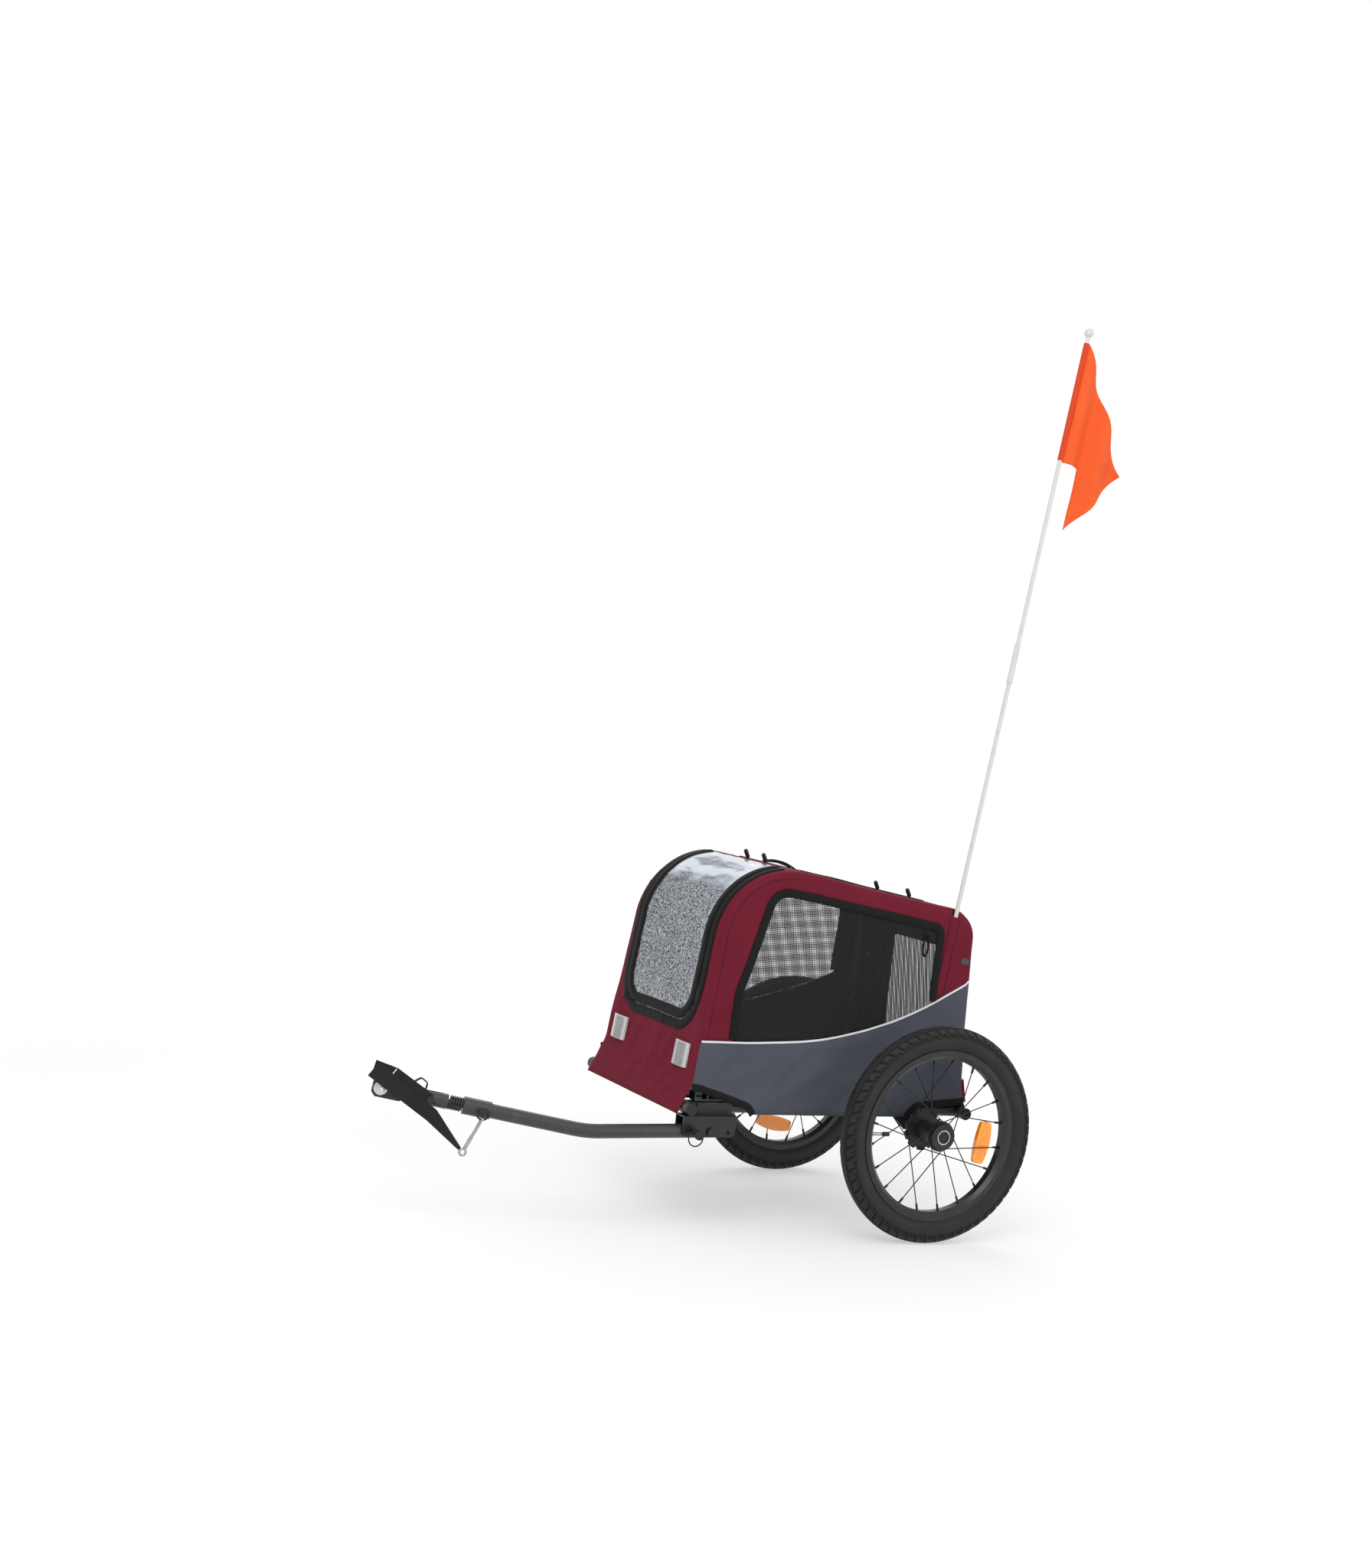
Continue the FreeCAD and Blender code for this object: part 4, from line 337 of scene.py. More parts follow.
# Pulled folds, each from a start to an end with its half width and height.
folds = {
    "rise": 1.9, "past": 0.15, "frontEdge": -0.40, "frontTop": 0.44,
    "side": [
        ((-0.466, 0.262), (-0.385, 0.325), 0.007, 0.0024), ((-0.462, 0.258), (-0.300, 0.300), 0.009, 0.0022),
        ((-0.335, 0.220), (-0.190, 0.310), 0.011, 0.0034), ((-0.345, 0.220), (-0.250, 0.330), 0.007, 0.0018),
        ((-0.230, 0.214), (-0.120, 0.290), 0.010, 0.0028), ((-0.150, 0.212), (-0.060, 0.300), 0.008, 0.0024),
        ((-0.280, 0.330), (-0.100, 0.352), 0.012, 0.0018), ((0.000, 0.235), (0.060, 0.370), 0.010, 0.0026),
        ((0.090, 0.250), (0.040, 0.400), 0.008, 0.0020), ((-0.200, 0.598), (-0.245, 0.634), 0.006, 0.0018),
        ((-0.100, 0.585), (-0.155, 0.622), 0.006, 0.0018), ((-0.447, 0.360), (-0.405, 0.470), 0.006, 0.0018),
    ],
    "front": [
        ((0.020, 0.226), (0.085, 0.350), 0.008, 0.0028), ((0.055, 0.220), (0.100, 0.290), 0.006, 0.0022),
        ((0.000, 0.230), (0.030, 0.360), 0.009, 0.0022), ((0.085, 0.224), (0.150, 0.275), 0.007, 0.0020),
        ((-0.100, 0.255), (-0.050, 0.340), 0.008, 0.0022), ((-0.160, 0.350), (-0.120, 0.385), 0.006, 0.0018),
        ((0.165, 0.360), (0.150, 0.430), 0.006, 0.0016), ((-0.060, 0.230), (-0.010, 0.290), 0.007, 0.0018),
    ],
}


def evenly(first, last, pieces):
    return [first + (last - first) * k / pieces for k in range(pieces + 1)]


def roundedPath(corners, bends, step=0.006):
    pts = [Vector(c) for c in corners]
    out = [pts[0]]
    for corner, before, after, bend in zip(pts[1:], pts, pts[2:], bends):
        back, ahead = (before - corner).normalized(), (after - corner).normalized()
        half = back.angle(ahead) / 2
        reach = bend / math.tan(half)
        middle = corner + (back + ahead).normalized() * (bend / math.sin(half))
        a, b = corner + back * reach - middle, corner + ahead * reach - middle
        turn = a.angle(b)
        pieces = max(3, int(bend * turn / step))
        for t in evenly(0.0, 1.0, pieces):
            out.append(middle + (a * math.sin((1 - t) * turn) + b * math.sin(t * turn)) / math.sin(turn))
    fine = [out[0]]
    for p in out[1:] + [pts[-1]]:
        gap, last = (p - fine[-1]).length, fine[-1]
        if gap > 1e-6:
            parts = max(1, round(gap / step))
            fine += [last.lerp(p, (n + 1) / parts) for n in range(parts)]
    return fine


outline = roundedPath(cover["corners"], cover["bends"])


def sideX(z, proud=0.0):
    return cover["halfWidth"] - cover["lean"] * (z - cover["hem"]) + cover["wall"] + proud


def outlinePlace(y, z):
    # depth inside the outline, the way inwards, and how far along the outline the nearest spot is
    best, inward, along, run = 1e9, Vector((1, 0)), 0.0, 0.0
    p = Vector((y, z))
    side = 1.0
    for a, b in zip(outline[:-1], outline[1:]):
        way = b - a
        t = max(0.0, min(1.0, (p - a).dot(way) / way.length_squared))
        d = (p - a - way * t).length
        if d < best:
            best, inward, along = d, Vector((way.y, -way.x)).normalized(), run + way.length * t
            side = (p - a).dot(inward)
        run += way.length
    return (best if side >= 0 else -best), inward, along


def foldLift(kind, a, b):
    total = 0.0
    for start, end, width, height in folds[kind]:
        way, p = Vector(end) - Vector(start), Vector((a, b)) - Vector(start)
        t = (p.dot(way) / way.length_squared + folds["past"]) / (1 + 2 * folds["past"])
        off = abs(p.x * way.y - p.y * way.x) / way.length
        if 0 < t < 1 and off < 3 * width:
            total += folds["rise"] * height * math.exp(-(off / width) ** 2) * math.sin(math.pi * t)
    return total


def faceWay(q, across):
    if across < cover["sideDepth"]:
        return Vector((math.copysign(1.0, q.x), 0, 0))
    if q.z < crown["from"]:
        return Vector((0, -1.0 if q.y < cover["middle"][0] else 1.0, 0))
    ahead = min(0.0, q.y - crown["front"]) + max(0.0, q.y - crown["rear"])
    return Vector((0, ahead, q.z - crown["under"])).normalized()


def drape(p):
    # soft corners first, then slack and folds that every layer shares; the slack never goes into the frame
    q = Vector(p)
    r = softEdge["size"] * min(1.0, max(softEdge["least"], (q.z - softEdge["from"]) / softEdge["over"]))
    across = sideX(q.z) - abs(q.x)
    if across < r:
        depth, inward = outlinePlace(q.y, q.z)[:2]
        if depth < r:
            a, b = r - across, r - depth
            size = math.hypot(a, b)
            if size > r:
                a2, b2 = a * r / size, b * r / size
                q.x -= math.copysign(a - a2, q.x)
                q.y += inward.x * (b - b2)
                q.z += inward.y * (b - b2)
    (wideHigh, wideFine), (smallHigh, smallFine) = slack["wide"], slack["small"]
    wide = noise.noise_vector(q * wideFine + slack["shift"])
    small = noise.noise_vector(q * smallFine)
    loose = min(1.0, max(0.0, (q.z - slack["from"]) / slack["over"]))
    shift = wide * (wideHigh * loose) + small * (smallHigh * loose)
    out = faceWay(q, across)
    lift = max(0.0, -shift.dot(out))
    if across < cover["sideDepth"]:
        lift += foldLift("side", q.y, q.z)
    elif q.y < folds["frontEdge"] and q.z < folds["frontTop"]:
        lift += foldLift("front", q.x, q.z)
    return q + shift + out * lift


def meshPiece(name, bm, finish, smooth=True):
    mesh = bpy.data.meshes.new(name)
    bm.to_mesh(mesh)
    bm.free()
    for f in mesh.polygons:
        f.use_smooth = smooth
    obj = bpy.data.objects.new(name, mesh)
    scene.collection.objects.link(obj)
    used = finish if isinstance(finish, list) else [finish]
    for one in used:
        mesh.materials.append(finishes[one])
    used[0] in slotOf
    return obj


def nodeCopy(node):
    bm = bmesh.new()
    bm.from_mesh(nodes[node].data)
    bmesh.ops.remove_doubles(bm, verts=bm.verts, dist=1e-5)
    return bm


def everything(bm):
    return bm.verts[:] + bm.edges[:] + bm.faces[:]


def sliceFine(bm, cell):
    for axis in range(3):
        low = min(v.co[axis] for v in bm.verts)
        high = max(v.co[axis] for v in bm.verts)
        normal = Vector([1.0 if k == axis else 0.0 for k in range(3)])
        for n in range(1, int((high - low) / cell) + 1):
            bmesh.ops.bisect_plane(bm, geom=everything(bm), dist=1e-6, plane_co=normal * (low + n * cell),
                                   plane_no=normal)


def collapse(obj):
    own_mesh(obj)


def outwardAt(p, flat):
    if flat:
        return Vector((math.copysign(1.0, p.x), 0, cover["lean"]))
    return Vector((0, p.y - cover["middle"][0], p.z - cover["middle"][1])).normalized()


def flatCut(bm, flat):
    # the panel's size and area laid flat: half of the CAD solid's surface, before it is draped
    area = sum(f.calc_area() for f in bm.faces) / 2
    first = [v.co.y if flat else v.co.x for v in bm.verts]
    second = [v.co.z if flat else outlinePlace(v.co.y, v.co.z)[2] for v in bm.verts]
    size = [max(first) - min(first), max(second) - min(second)]
    return size, min(area, size[0] * size[1])


# Cover cloth, made from each CAD panel: its finish, whether it is a flat side, and the body it moves with.
clothNodes = {
    "front_panel": ("upper", False, "chassis"), "roof_panel": ("upper", False, "chassis"),
    "rear_panel": ("upper", False, "chassis"), "left_side_panel": ("upper", True, "chassis"),
    "right_side_panel": ("upper", True, "chassis"), "left_skirt": ("lower", True, "chassis"),
    "right_skirt": ("lower", True, "chassis"), "left_window": ("net", True, "chassis"),
    "right_window": ("net", True, "chassis"), "front_door": ("frontNet", False, "front_flap"),
    "rear_door": ("net", False, "rear_flap"),
}
cuts = {}


def clothPiece(node, finish, flat, body, part):
    bm = nodeCopy(node)
    bmesh.ops.bisect_plane(bm, geom=everything(bm), dist=1e-6, plane_co=(0, 0, cover["foldHeight"]),
                           plane_no=(0, 0, 1), clear_outer=part == "low", clear_inner=part == "high")
    bmesh.ops.holes_fill(bm, edges=[e for e in bm.edges if e.is_boundary], sides=0)
    name = f"{node}_{part}_cloth"
    cut = flatCut(bm, flat)
    sliceFine(bm, cover["cell"])
    bmesh.ops.remove_doubles(bm, verts=bm.verts[:], dist=cover["merge"])
    bmesh.ops.dissolve_degenerate(bm, edges=bm.edges[:], dist=cover["merge"])
    bm.normal_update()
    caps = {f for f in bm.faces if all(abs(v.co.z - cover["foldHeight"]) < 1e-5 for v in f.verts)}
    net = finish in ("net", "frontNet")
    for v in bm.verts:
        v.co = drape(v.co)
    for f in bm.faces:
        # faces turned inwards get the near-black inside colour, painted shade of the interior
        inside = f.normal.dot(outwardAt(f.calc_center_median(), flat)) < cover["liningTurn"]
        f.material_index = 1 if inside and not net else 0
        if f in caps:
            for e in f.edges:
                e.smooth = False
    for v in bm.verts:
        if all(f.material_index == 1 for f in v.link_faces):
            v.co -= outwardAt(v.co, flat) * cover["liningGap"]  # or it shows through a twisted fold
    obj = meshPiece(name, bm, [finish] if net else [finish, "shadedLining"])
    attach(obj, body)
    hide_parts(node)
    if part == "high":
        collapse(obj)
    cuts[name] = (obj, *cut)


for node, (finish, flat, body) in clothNodes.items():
    low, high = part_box(node)
    for part in ["low", "high"] if low[2] < cover["foldHeight"] < high[2] else ["high"]:
        clothPiece(node, finish, flat, body, part)
print("cover cloth made:", len(cuts))


# Trim that follows the cloth. A strip or tube is a grid whose rows are moved onto the section at each spot.
tapeForm = {"sunk": 0.0004, "shoulder": 0.55, "flat": 0.86}
crownReach = 0.02  # faces this near a strip's middle tell which way it looks


def gridAlong(name, spots, outs, section, finish, body="chassis", soft=True, closed=False):
    n, m = len(spots), len(section)
    bm = bmesh.new()
    bmesh.ops.create_grid(bm, x_segments=n - 1, y_segments=m - 1, size=1.0)
    for v in bm.verts:
        i, j = round((v.co.x + 1) / 2 * (n - 1)), round((v.co.y + 1) / 2 * (m - 1))
        before = spots[i - 1] if i else spots[n - 2 if closed else 0]
        after = spots[i + 1] if i < n - 1 else spots[1 if closed else n - 1]
        side = (after - before).normalized().cross(outs[i]).normalized()
        v.co = spots[i] + side * section[j][0] + outs[i] * section[j][1]
    bmesh.ops.remove_doubles(bm, verts=bm.verts, dist=1e-6)
    bmesh.ops.recalc_face_normals(bm, faces=bm.faces)
    tall = max(s[1] for s in section)
    near = [f for f in bm.faces if (f.calc_center_median() - spots[n // 2]).length < crownReach]
    if section[0] != section[-1] and near and sum(f.normal.dot(outs[n // 2]) for f in near) < 0 < tall:
        bmesh.ops.reverse_faces(bm, faces=bm.faces)
    obj = meshPiece(name, bm, finish)
    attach(obj, body)
    if soft:
        collapse(obj)
    return obj


def tapeSection(width, thick):
    w, sunk, shoulder = width / 2, tapeForm["sunk"], thick * tapeForm["shoulder"]
    top = w * tapeForm["flat"]
    return [(-w, -sunk), (-w, shoulder), (-top, thick), (top, thick), (w, shoulder), (w, -sunk)]


def tapeAlong(name, spots, outs, tape, finish="binding", body="chassis", soft=True):
    gridAlong(name, spots, outs, tapeSection(tape["width"], tape["thick"]), finish, body, soft)


def roundSection(radius, count=9):
    ring = [(radius * math.cos(t), radius * math.sin(t)) for t in evenly(0.0, 2 * math.pi, count - 1)[:-1]]
    return ring + ring[:1]


def onSide(sign, path, proud=0.0):
    spots = [drape(Vector((sign * sideX(z, proud), y, z))) for y, z in path]
    return spots, [Vector((sign, 0, cover["lean"])).normalized()] * len(spots)


piping = {"start": -0.4545, "step": 0.0115, "count": 10, "turn": (-0.339, 0.341), "middle": (-0.066, 0.388),
          "end": (0.126, 0.482), "inside": 0.001, "radius": 0.0021, "proud": 0.0004}
window = {"low": [(-0.394, 0.241), (-0.388, 0.430)], "top": [-0.329, 0.030], "rear": (0.019, 0.241),
          "margin": 0.0415, "bends": [0.0996, 0.0382, 0.0183], "step": 0.005, "abovePiping": 0.002,
          "width": 0.016, "thick": 0.0024}
seam = {"inset": 0.013, "from": (-0.4555, 0.346), "to": (-0.285, 0.6537), "width": 0.0014, "thick": 0.0006}


def arcThrough(a, b, c, count=40):
    a, b, c = Vector(a), Vector(b), Vector(c)
    d = 2 * (a.x * (b.y - c.y) + b.x * (c.y - a.y) + c.x * (a.y - b.y))
    sizes = [p.length_squared for p in (a, b, c)]
    ux = (sizes[0] * (b.y - c.y) + sizes[1] * (c.y - a.y) + sizes[2] * (a.y - b.y)) / d
    uy = (sizes[0] * (c.x - b.x) + sizes[1] * (a.x - c.x) + sizes[2] * (b.x - a.x)) / d
    mid = Vector((ux, uy))
    start, end = math.atan2(a.y - uy, a.x - ux), math.atan2(c.y - uy, c.x - ux)
    if end < start:
        end += 2 * math.pi
    radius = (a - mid).length
    return [mid + Vector((math.cos(t), math.sin(t))) * radius for t in evenly(start, end, count)]


pipeArc = arcThrough(piping["turn"], piping["middle"], piping["end"])
pipeLevel = [piping["start"] + piping["step"] * k for k in range(piping["count"])]
pipeLine = [Vector((y, piping["turn"][1])) for y in pipeLevel]
pipeLine += [p for p in pipeArc if outlinePlace(*p)[0] > piping["inside"]]


def pipeHeight(y):
    for a, b in zip(pipeLine[:-1], pipeLine[1:]):
        if a.x <= y <= b.x:
            return a.y + (b.y - a.y) * (y - a.x) / (b.x - a.x)
    return piping["turn"][1]


def roofHeight(y):
    (by, bz), (ty, tz) = cover["corners"][2:4]
    return bz + (tz - bz) * (y - by) / (ty - by)


def outlineRun(start, end):
    ends = [min(range(len(outline)), key=lambda k: (outline[k] - Vector(p)).length) for p in (start, end)]
    return outline[min(ends):max(ends) + 1]


windowTop = [(y, roofHeight(y) - window["margin"]) for y in window["top"]]
windowEdge = roundedPath(window["low"] + windowTop + [window["rear"]], window["bends"], window["step"])
windowLine = [p for p in windowEdge if p.y > pipeHeight(p.x) + window["abovePiping"]]
seamLine = [p + outlinePlace(p.x, p.y)[1] * seam["inset"] for p in outlineRun(seam["from"], seam["to"])]
for side, sign in sides.items():
    tapeAlong(side + "_window_tape", *onSide(sign, windowLine), window)
    cord = onSide(sign, pipeLine, piping["proud"])
    gridAlong(side + "_piping", *cord, roundSection(piping["radius"]), "piping")
    tapeAlong(side + "_front_seam", *onSide(sign, seamLine), seam, "seam")


def doorLine(door, grow):
    # the door's edge in its own chord frame, laid back onto the cover's outline
    run = outlineRun(door["start"], door["end"])
    run = run if run[0].y < run[-1].y else run[::-1]
    low, high = run[0], run[-1]
    chord = (high - low).normalized()
    reach = [(p - low).dot(chord) for p in run]
    tall = reach[-1]
    w = door["half"] + grow
    spots, outs = [], []
    for x, c in roundedPath([(-w, tall), (-w, -grow), (w, -grow), (w, tall)], [doorBend + grow] * 2):
        k = max(1, next((i for i, r in enumerate(reach) if r >= c), len(reach) - 1))
        p = run[k - 1].lerp(run[k], (c - reach[k - 1]) / (reach[k] - reach[k - 1]))
        way = (run[k] - run[k - 1]).normalized()
        out = Vector((0, -way.y, way.x))
        spots.append(drape(Vector((x, p.x, p.y))))
        outs.append(out if out.dot(outwardAt(spots[-1], False)) > 0 else -out)
    return spots, outs


doors = {
    "front": {"start": (-0.453, 0.362), "end": (-0.306, 0.6525), "half": 0.140, "body": "front_flap"},
    "rear": {"start": (0.108, 0.300), "end": (0.1077, 0.5198), "half": 0.125, "body": "rear_flap"},
}
doorBend = 0.055
doorTrim = {"surround": {"grow": 0.0095, "width": 0.017, "thick": 0.0026},
            "tape": {"grow": -0.0093, "width": 0.0186, "thick": 0.0046}}
for name, door in doors.items():
    for kind, trim in doorTrim.items():
        body = door["body"] if kind == "tape" else "chassis"
        tapeAlong(f"{name}_door_{kind}", *doorLine(door, trim["grow"]), trim, "binding", body)
print("window and door trim made")

# Bound edges of the hem's cut-outs, over the tow bracket and behind the wheel.
hemCuts = {
    "front": ([(-0.496, 0.208), (-0.496, 0.257), (-0.455, 0.257), (-0.352, 0.224), (-0.340, 0.208)],
              [0.005, 0.060, 0.014]),
    "rear": ([(-0.014, 0.208), (0.006, 0.231), (0.131, 0.243), (0.131, 0.208)], [0.014, 0.005]),
}
hemTape = {"step": 0.004, "inset": 0.004, "inside": 0.0005, "width": 0.013, "thick": 0.0018}


def waysAlong(path):
    return [(b - a).normalized() for a, b in zip(path[:1] + path[:-1], path[1:] + path[-1:])]


for end, (marks, bends) in hemCuts.items():
    path = roundedPath(marks, bends, hemTape["step"])
    edge = [p + Vector((-way.y, way.x)) * hemTape["inset"] for p, way in zip(path, waysAlong(path))]
    edge = [p for p in edge if p.y > cover["hem"] and outlinePlace(p.x, p.y)[0] > hemTape["inside"]]
    for side, sign in sides.items():
        tapeAlong(f"{side}_{end}_hem_tape", *onSide(sign, edge), hemTape, soft=False)

roofZip = {"half": 0.118, "front": -0.252, "rear": 0.030, "bend": 0.03, "step": 0.008, "width": 0.010,
           "thick": 0.0018}
half, front, rear = roofZip["half"], roofZip["front"], roofZip["rear"]
hatch = roundedPath([(-half, front), (-half, rear), (half, rear), (half, front)], [roofZip["bend"]] * 2,
                    roofZip["step"])
upward = Vector((0, 0.143, 0.99)).normalized()
spots = [drape(Vector((x, y, roofHeight(y)))) for x, y in hatch]
tapeAlong("roof_zip", spots, [upward] * len(spots), roofZip)

# A padded tie on the roof behind the front toggles, and the toggles themselves.
tie = {"front": -0.264, "rear": -0.200, "side": 0.0, "clear": 0.0005, "lift": 0.0035, "width": 0.018,
       "thick": 0.0055, "ends": 0.4, "pieces": 16}
arch = [math.sin(t) for t in evenly(0.0, math.pi, tie["pieces"])]
spots = [drape(Vector((tie["side"], y, roofHeight(y)))) + upward * (tie["clear"] + tie["lift"] * high)
         for y, high in zip(evenly(tie["front"], tie["rear"], tie["pieces"]), arch)]
tapeAlong("roof_tie", spots, [upward * (tie["ends"] + (1 - tie["ends"]) * high) for high in arch], tie)
piece = meshPiece("roof_toggle_set", nodeCopy("roof_toggles"), "plastic")
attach(piece, "chassis")
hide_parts("roof_toggles")
collapse(piece)

loop = {"top": (0.1795, -0.002, 0.553), "drop": 0.040, "half": 0.0055, "radius": 0.0018, "pieces": 24}
x, y, z = loop["top"]
turns = evenly(0.0, 2 * math.pi, loop["pieces"])
ring = [Vector((x, y + loop["half"] * math.sin(t), z - loop["drop"] * (1 - math.cos(t)) / 2)) for t in turns]
gridAlong("window_loop", ring, [leftward] * len(ring), roundSection(loop["radius"]), "binding", closed=True)

patch = {"ends": [(0.080, 0.508), (0.098, 0.505)], "proud": 0.0002, "width": 0.011, "thick": 0.0008}
tapeAlong("side_patch", *onSide(sides["left"], patch["ends"], patch["proud"]), patch, "lower")

# The sleeve that the flag pole stands in, proud of the panel by what the pole needs.
mast = {"foot": Vector((0.177, 0.012, 0.2351)), "rise": Vector((0, 0.129616, 0.991564)), "radius": 0.004}
sleeve = {"top": 0.588, "foot": 0.440, "half": 0.0100, "gap": 0.0016, "least": 0.0026, "pieces": 18}
sleeveSeam = {"at": 0.86, "proud": 0.0009, "width": 0.0012, "thick": 0.0005}


def mastSpot(z):
    return mast["foot"] + mast["rise"] * ((z - mast["foot"].z) / mast["rise"].z)


spots, outs = [], []
for z in evenly(sleeve["top"], sleeve["foot"], sleeve["pieces"]):
    face = drape(Vector((sideX(z), mastSpot(z).y, z)))
    proud = mast["foot"].x + mast["radius"] + sleeve["gap"] - face.x
    spots.append(face)
    outs.append(Vector((max(sleeve["least"], proud), 0, 0)))
h = sleeve["half"]
pocket = [(-h, -0.1), (-h, 0.12), (-h * 0.78, 0.24), (-h * 0.45, 0.9), (0, 1.0), (h * 0.45, 0.9),
          (h * 0.78, 0.24), (h, 0.12), (h, -0.1)]
gridAlong("mast_sleeve", spots, outs, pocket, "upper")
for end, way in (("front", -1), ("rear", 1)):
    line = [p + Vector((sleeveSeam["proud"], way * h * sleeveSeam["at"], 0)) for p in spots]
    tapeAlong(f"mast_sleeve_{end}_seam", line, [leftward] * len(line), sleeveSeam, "seam")
print("trim made")


# Clear film over the front net.
filmSheet = {"cell": 0.008, "half": 0.138, "foot": 0.363, "fade": 0.012, "clear": 0.0005, "belly": 0.0017,
             "ripple": 0.0016, "fine": (30, 9, 9)}
bm = nodeCopy("front_door")
filmCut = flatCut(bm, False)
sliceFine(bm, filmSheet["cell"])
for v in bm.verts:
    wave = noise.noise(Vector([c * fine for c, fine in zip(v.co, filmSheet["fine"])])) * filmSheet["ripple"]
    inset = min(filmSheet["half"] - abs(v.co.x), v.co.z - filmSheet["foot"])
    free = max(0.0, min(1.0, inset / filmSheet["fade"]))
    rise = filmSheet["clear"] + (filmSheet["belly"] + wave) * free
    v.co = drape(v.co) + outwardAt(v.co, False) * rise
film = meshPiece("front_film", bm, "film")
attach(film, "front_flap")
collapse(film)
print("film made")


# Tyres with their tread, and the valves.
tyre = {"x": 0.282, "axle": 0.2, "half": 0.023, "crown": 0.177, "lip": 0.1578, "bead": 0.1525, "foot": 0.0114,
        "bulge": 1.05, "wallPieces": 7, "domePieces": 48}
# Places on the tread are shares of the way from its middle to a side, or of one tooth.
tread = {
    "teeth": 58, "steps": 10, "groove": 0.0030, "grooveShadeFrom": 0.2, "grooveShadeDrop": 0.6,
    "edge": 0.58, "edgeZig": 0.24, "edgeFade": 0.05,
    "slotFrom": 0.3, "slotSlant": 0.9, "slotHalf": 0.11, "slotFade": 0.03,
    "belt": 0.24, "beltZig": 0.05, "beltHalf": 0.045, "beltFade": 0.015, "beltDepth": 0.8,
}
wheelTurns = {"left": 0.0, "right": -0.256 * 2 * math.pi}
valve = {"stem": (-0.1446, 0.0356, 0.003, "brass"), "cap": (-0.115, 0.012, 0.004, "plastic")}


def tyreProfile():
    half, top, foot, lip = tyre["half"], tyre["crown"], tyre["foot"], tyre["lip"]
    a, c = Vector((foot, lip)), Vector((half, top))
    b = Vector((foot + (half - foot) * tyre["bulge"], (lip + top) / 2))
    shares = evenly(0.0, 1.0, tyre["wallPieces"])[:-1]
    wall = [a * (1 - t) ** 2 + b * (2 * t * (1 - t)) + c * t * t for t in shares]
    turns = evenly(0.0, math.pi, tyre["domePieces"])
    dome = [Vector((half * math.cos(t), top + half * math.sin(t))) for t in turns]
    right = [Vector((foot, tyre["bead"]))] + wall
    return right + dome + [Vector((-p.x, p.y)) for p in reversed(right)]


def treadDrop(phi, turn):
    share = abs(phi) / (math.pi / 2)
    a = turn / (2 * math.pi) * tread["teeth"]
    saw = abs((a % 1.0) - 0.5) * 2
    edge = tread["edge"] + tread["edgeZig"] * saw
    if share > edge:
        return tread["groove"] * min(1.0, (share - edge) / tread["edgeFade"])
    cross = abs(((a + share * tread["slotSlant"]) % 1.0) - 0.5)
    if share > tread["slotFrom"] and cross < tread["slotHalf"]:
        return tread["groove"] * min(1.0, (tread["slotHalf"] - cross) / tread["slotFade"])
    belt = abs(share - tread["belt"] - tread["beltZig"] * saw)
    fade = min(1.0, max(0.0, (tread["beltHalf"] - belt) / tread["beltFade"]))
    return tread["groove"] * tread["beltDepth"] * fade


for side, sign in sides.items():
    bm = bmesh.new()
    ring = [bm.verts.new((sign * tyre["x"] + p.x, 0, tyre["axle"] + p.y)) for p in tyreProfile()]
    for a, b in zip(ring, ring[1:] + ring[:1]):
        bm.edges.new((a, b))
    bmesh.ops.spin(bm, geom=bm.verts[:] + bm.edges[:], cent=(0, 0, tyre["axle"]), axis=(1, 0, 0),
                   angle=2 * math.pi, steps=tread["teeth"] * tread["steps"], use_merge=True)
    for v in bm.verts:
        x, y, z = v.co.x - sign * tyre["x"], v.co.y, v.co.z - tyre["axle"]
        r = math.hypot(y, z)
        if r > tyre["crown"] - 1e-6:
            phi = math.atan2(x, r - tyre["crown"])
            drop = treadDrop(phi, math.atan2(z, y))
            inward = Vector((-math.sin(phi), -math.cos(phi) * y / r, -math.cos(phi) * z / r))
        else:
            drop = tread["groove"] * max(0.0, (r - tyre["lip"]) / (tyre["crown"] - tyre["lip"]))
            inward = Vector((-math.copysign(1, x), 0, 0))
        v.co += inward * drop
        # faces deep in the grooves on the crown get the darker rubber: painted shade in the grooves
        high = r > tyre["crown"] + tyre["half"] * tread["grooveShadeFrom"]
        if high and drop > tread["groove"] * tread["grooveShadeDrop"]:
            for f in v.link_faces:
                f.material_index = 1
    bmesh.ops.recalc_face_normals(bm, faces=bm.faces)
    piece = meshPiece(side + "_tyre_tread", bm, ["rubber", "grooveShade"])
    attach(piece, side + "_wheel")
    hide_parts(side + "_tyre")
    hub = Matrix.Translation((sign * tyre["x"], 0, tyre["axle"])) @ Matrix.Rotation(wheelTurns[side], 4, "X")
    for name, (start, length, radius, finish) in valve.items():
        bm = bmesh.new()
        place = hub @ Matrix.Translation((0, start + length / 2, 0)) @ Matrix.Rotation(-math.pi / 2, 4, "X")
        bmesh.ops.create_cone(bm, cap_ends=True, segments=20, radius1=radius, radius2=radius, depth=length,
                              matrix=place)
        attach(meshPiece(f"{side}_valve_{name}", bm, finish), side + "_wheel")
print("tyres made")


# Reflector lenses: copies whose map fits each lens, long side upwards.
lensSharp = 0.6  # edges that bend more than this, in radians, stay sharp


def islands(bm):
    left = set(bm.faces)
    while left:
        found, edge = [], [left.pop()]
        while edge:
            f = edge.pop()
            found.append(f)
            near = {g for e in f.edges for g in e.link_faces} & left
            left -= near
            edge += near
        yield found


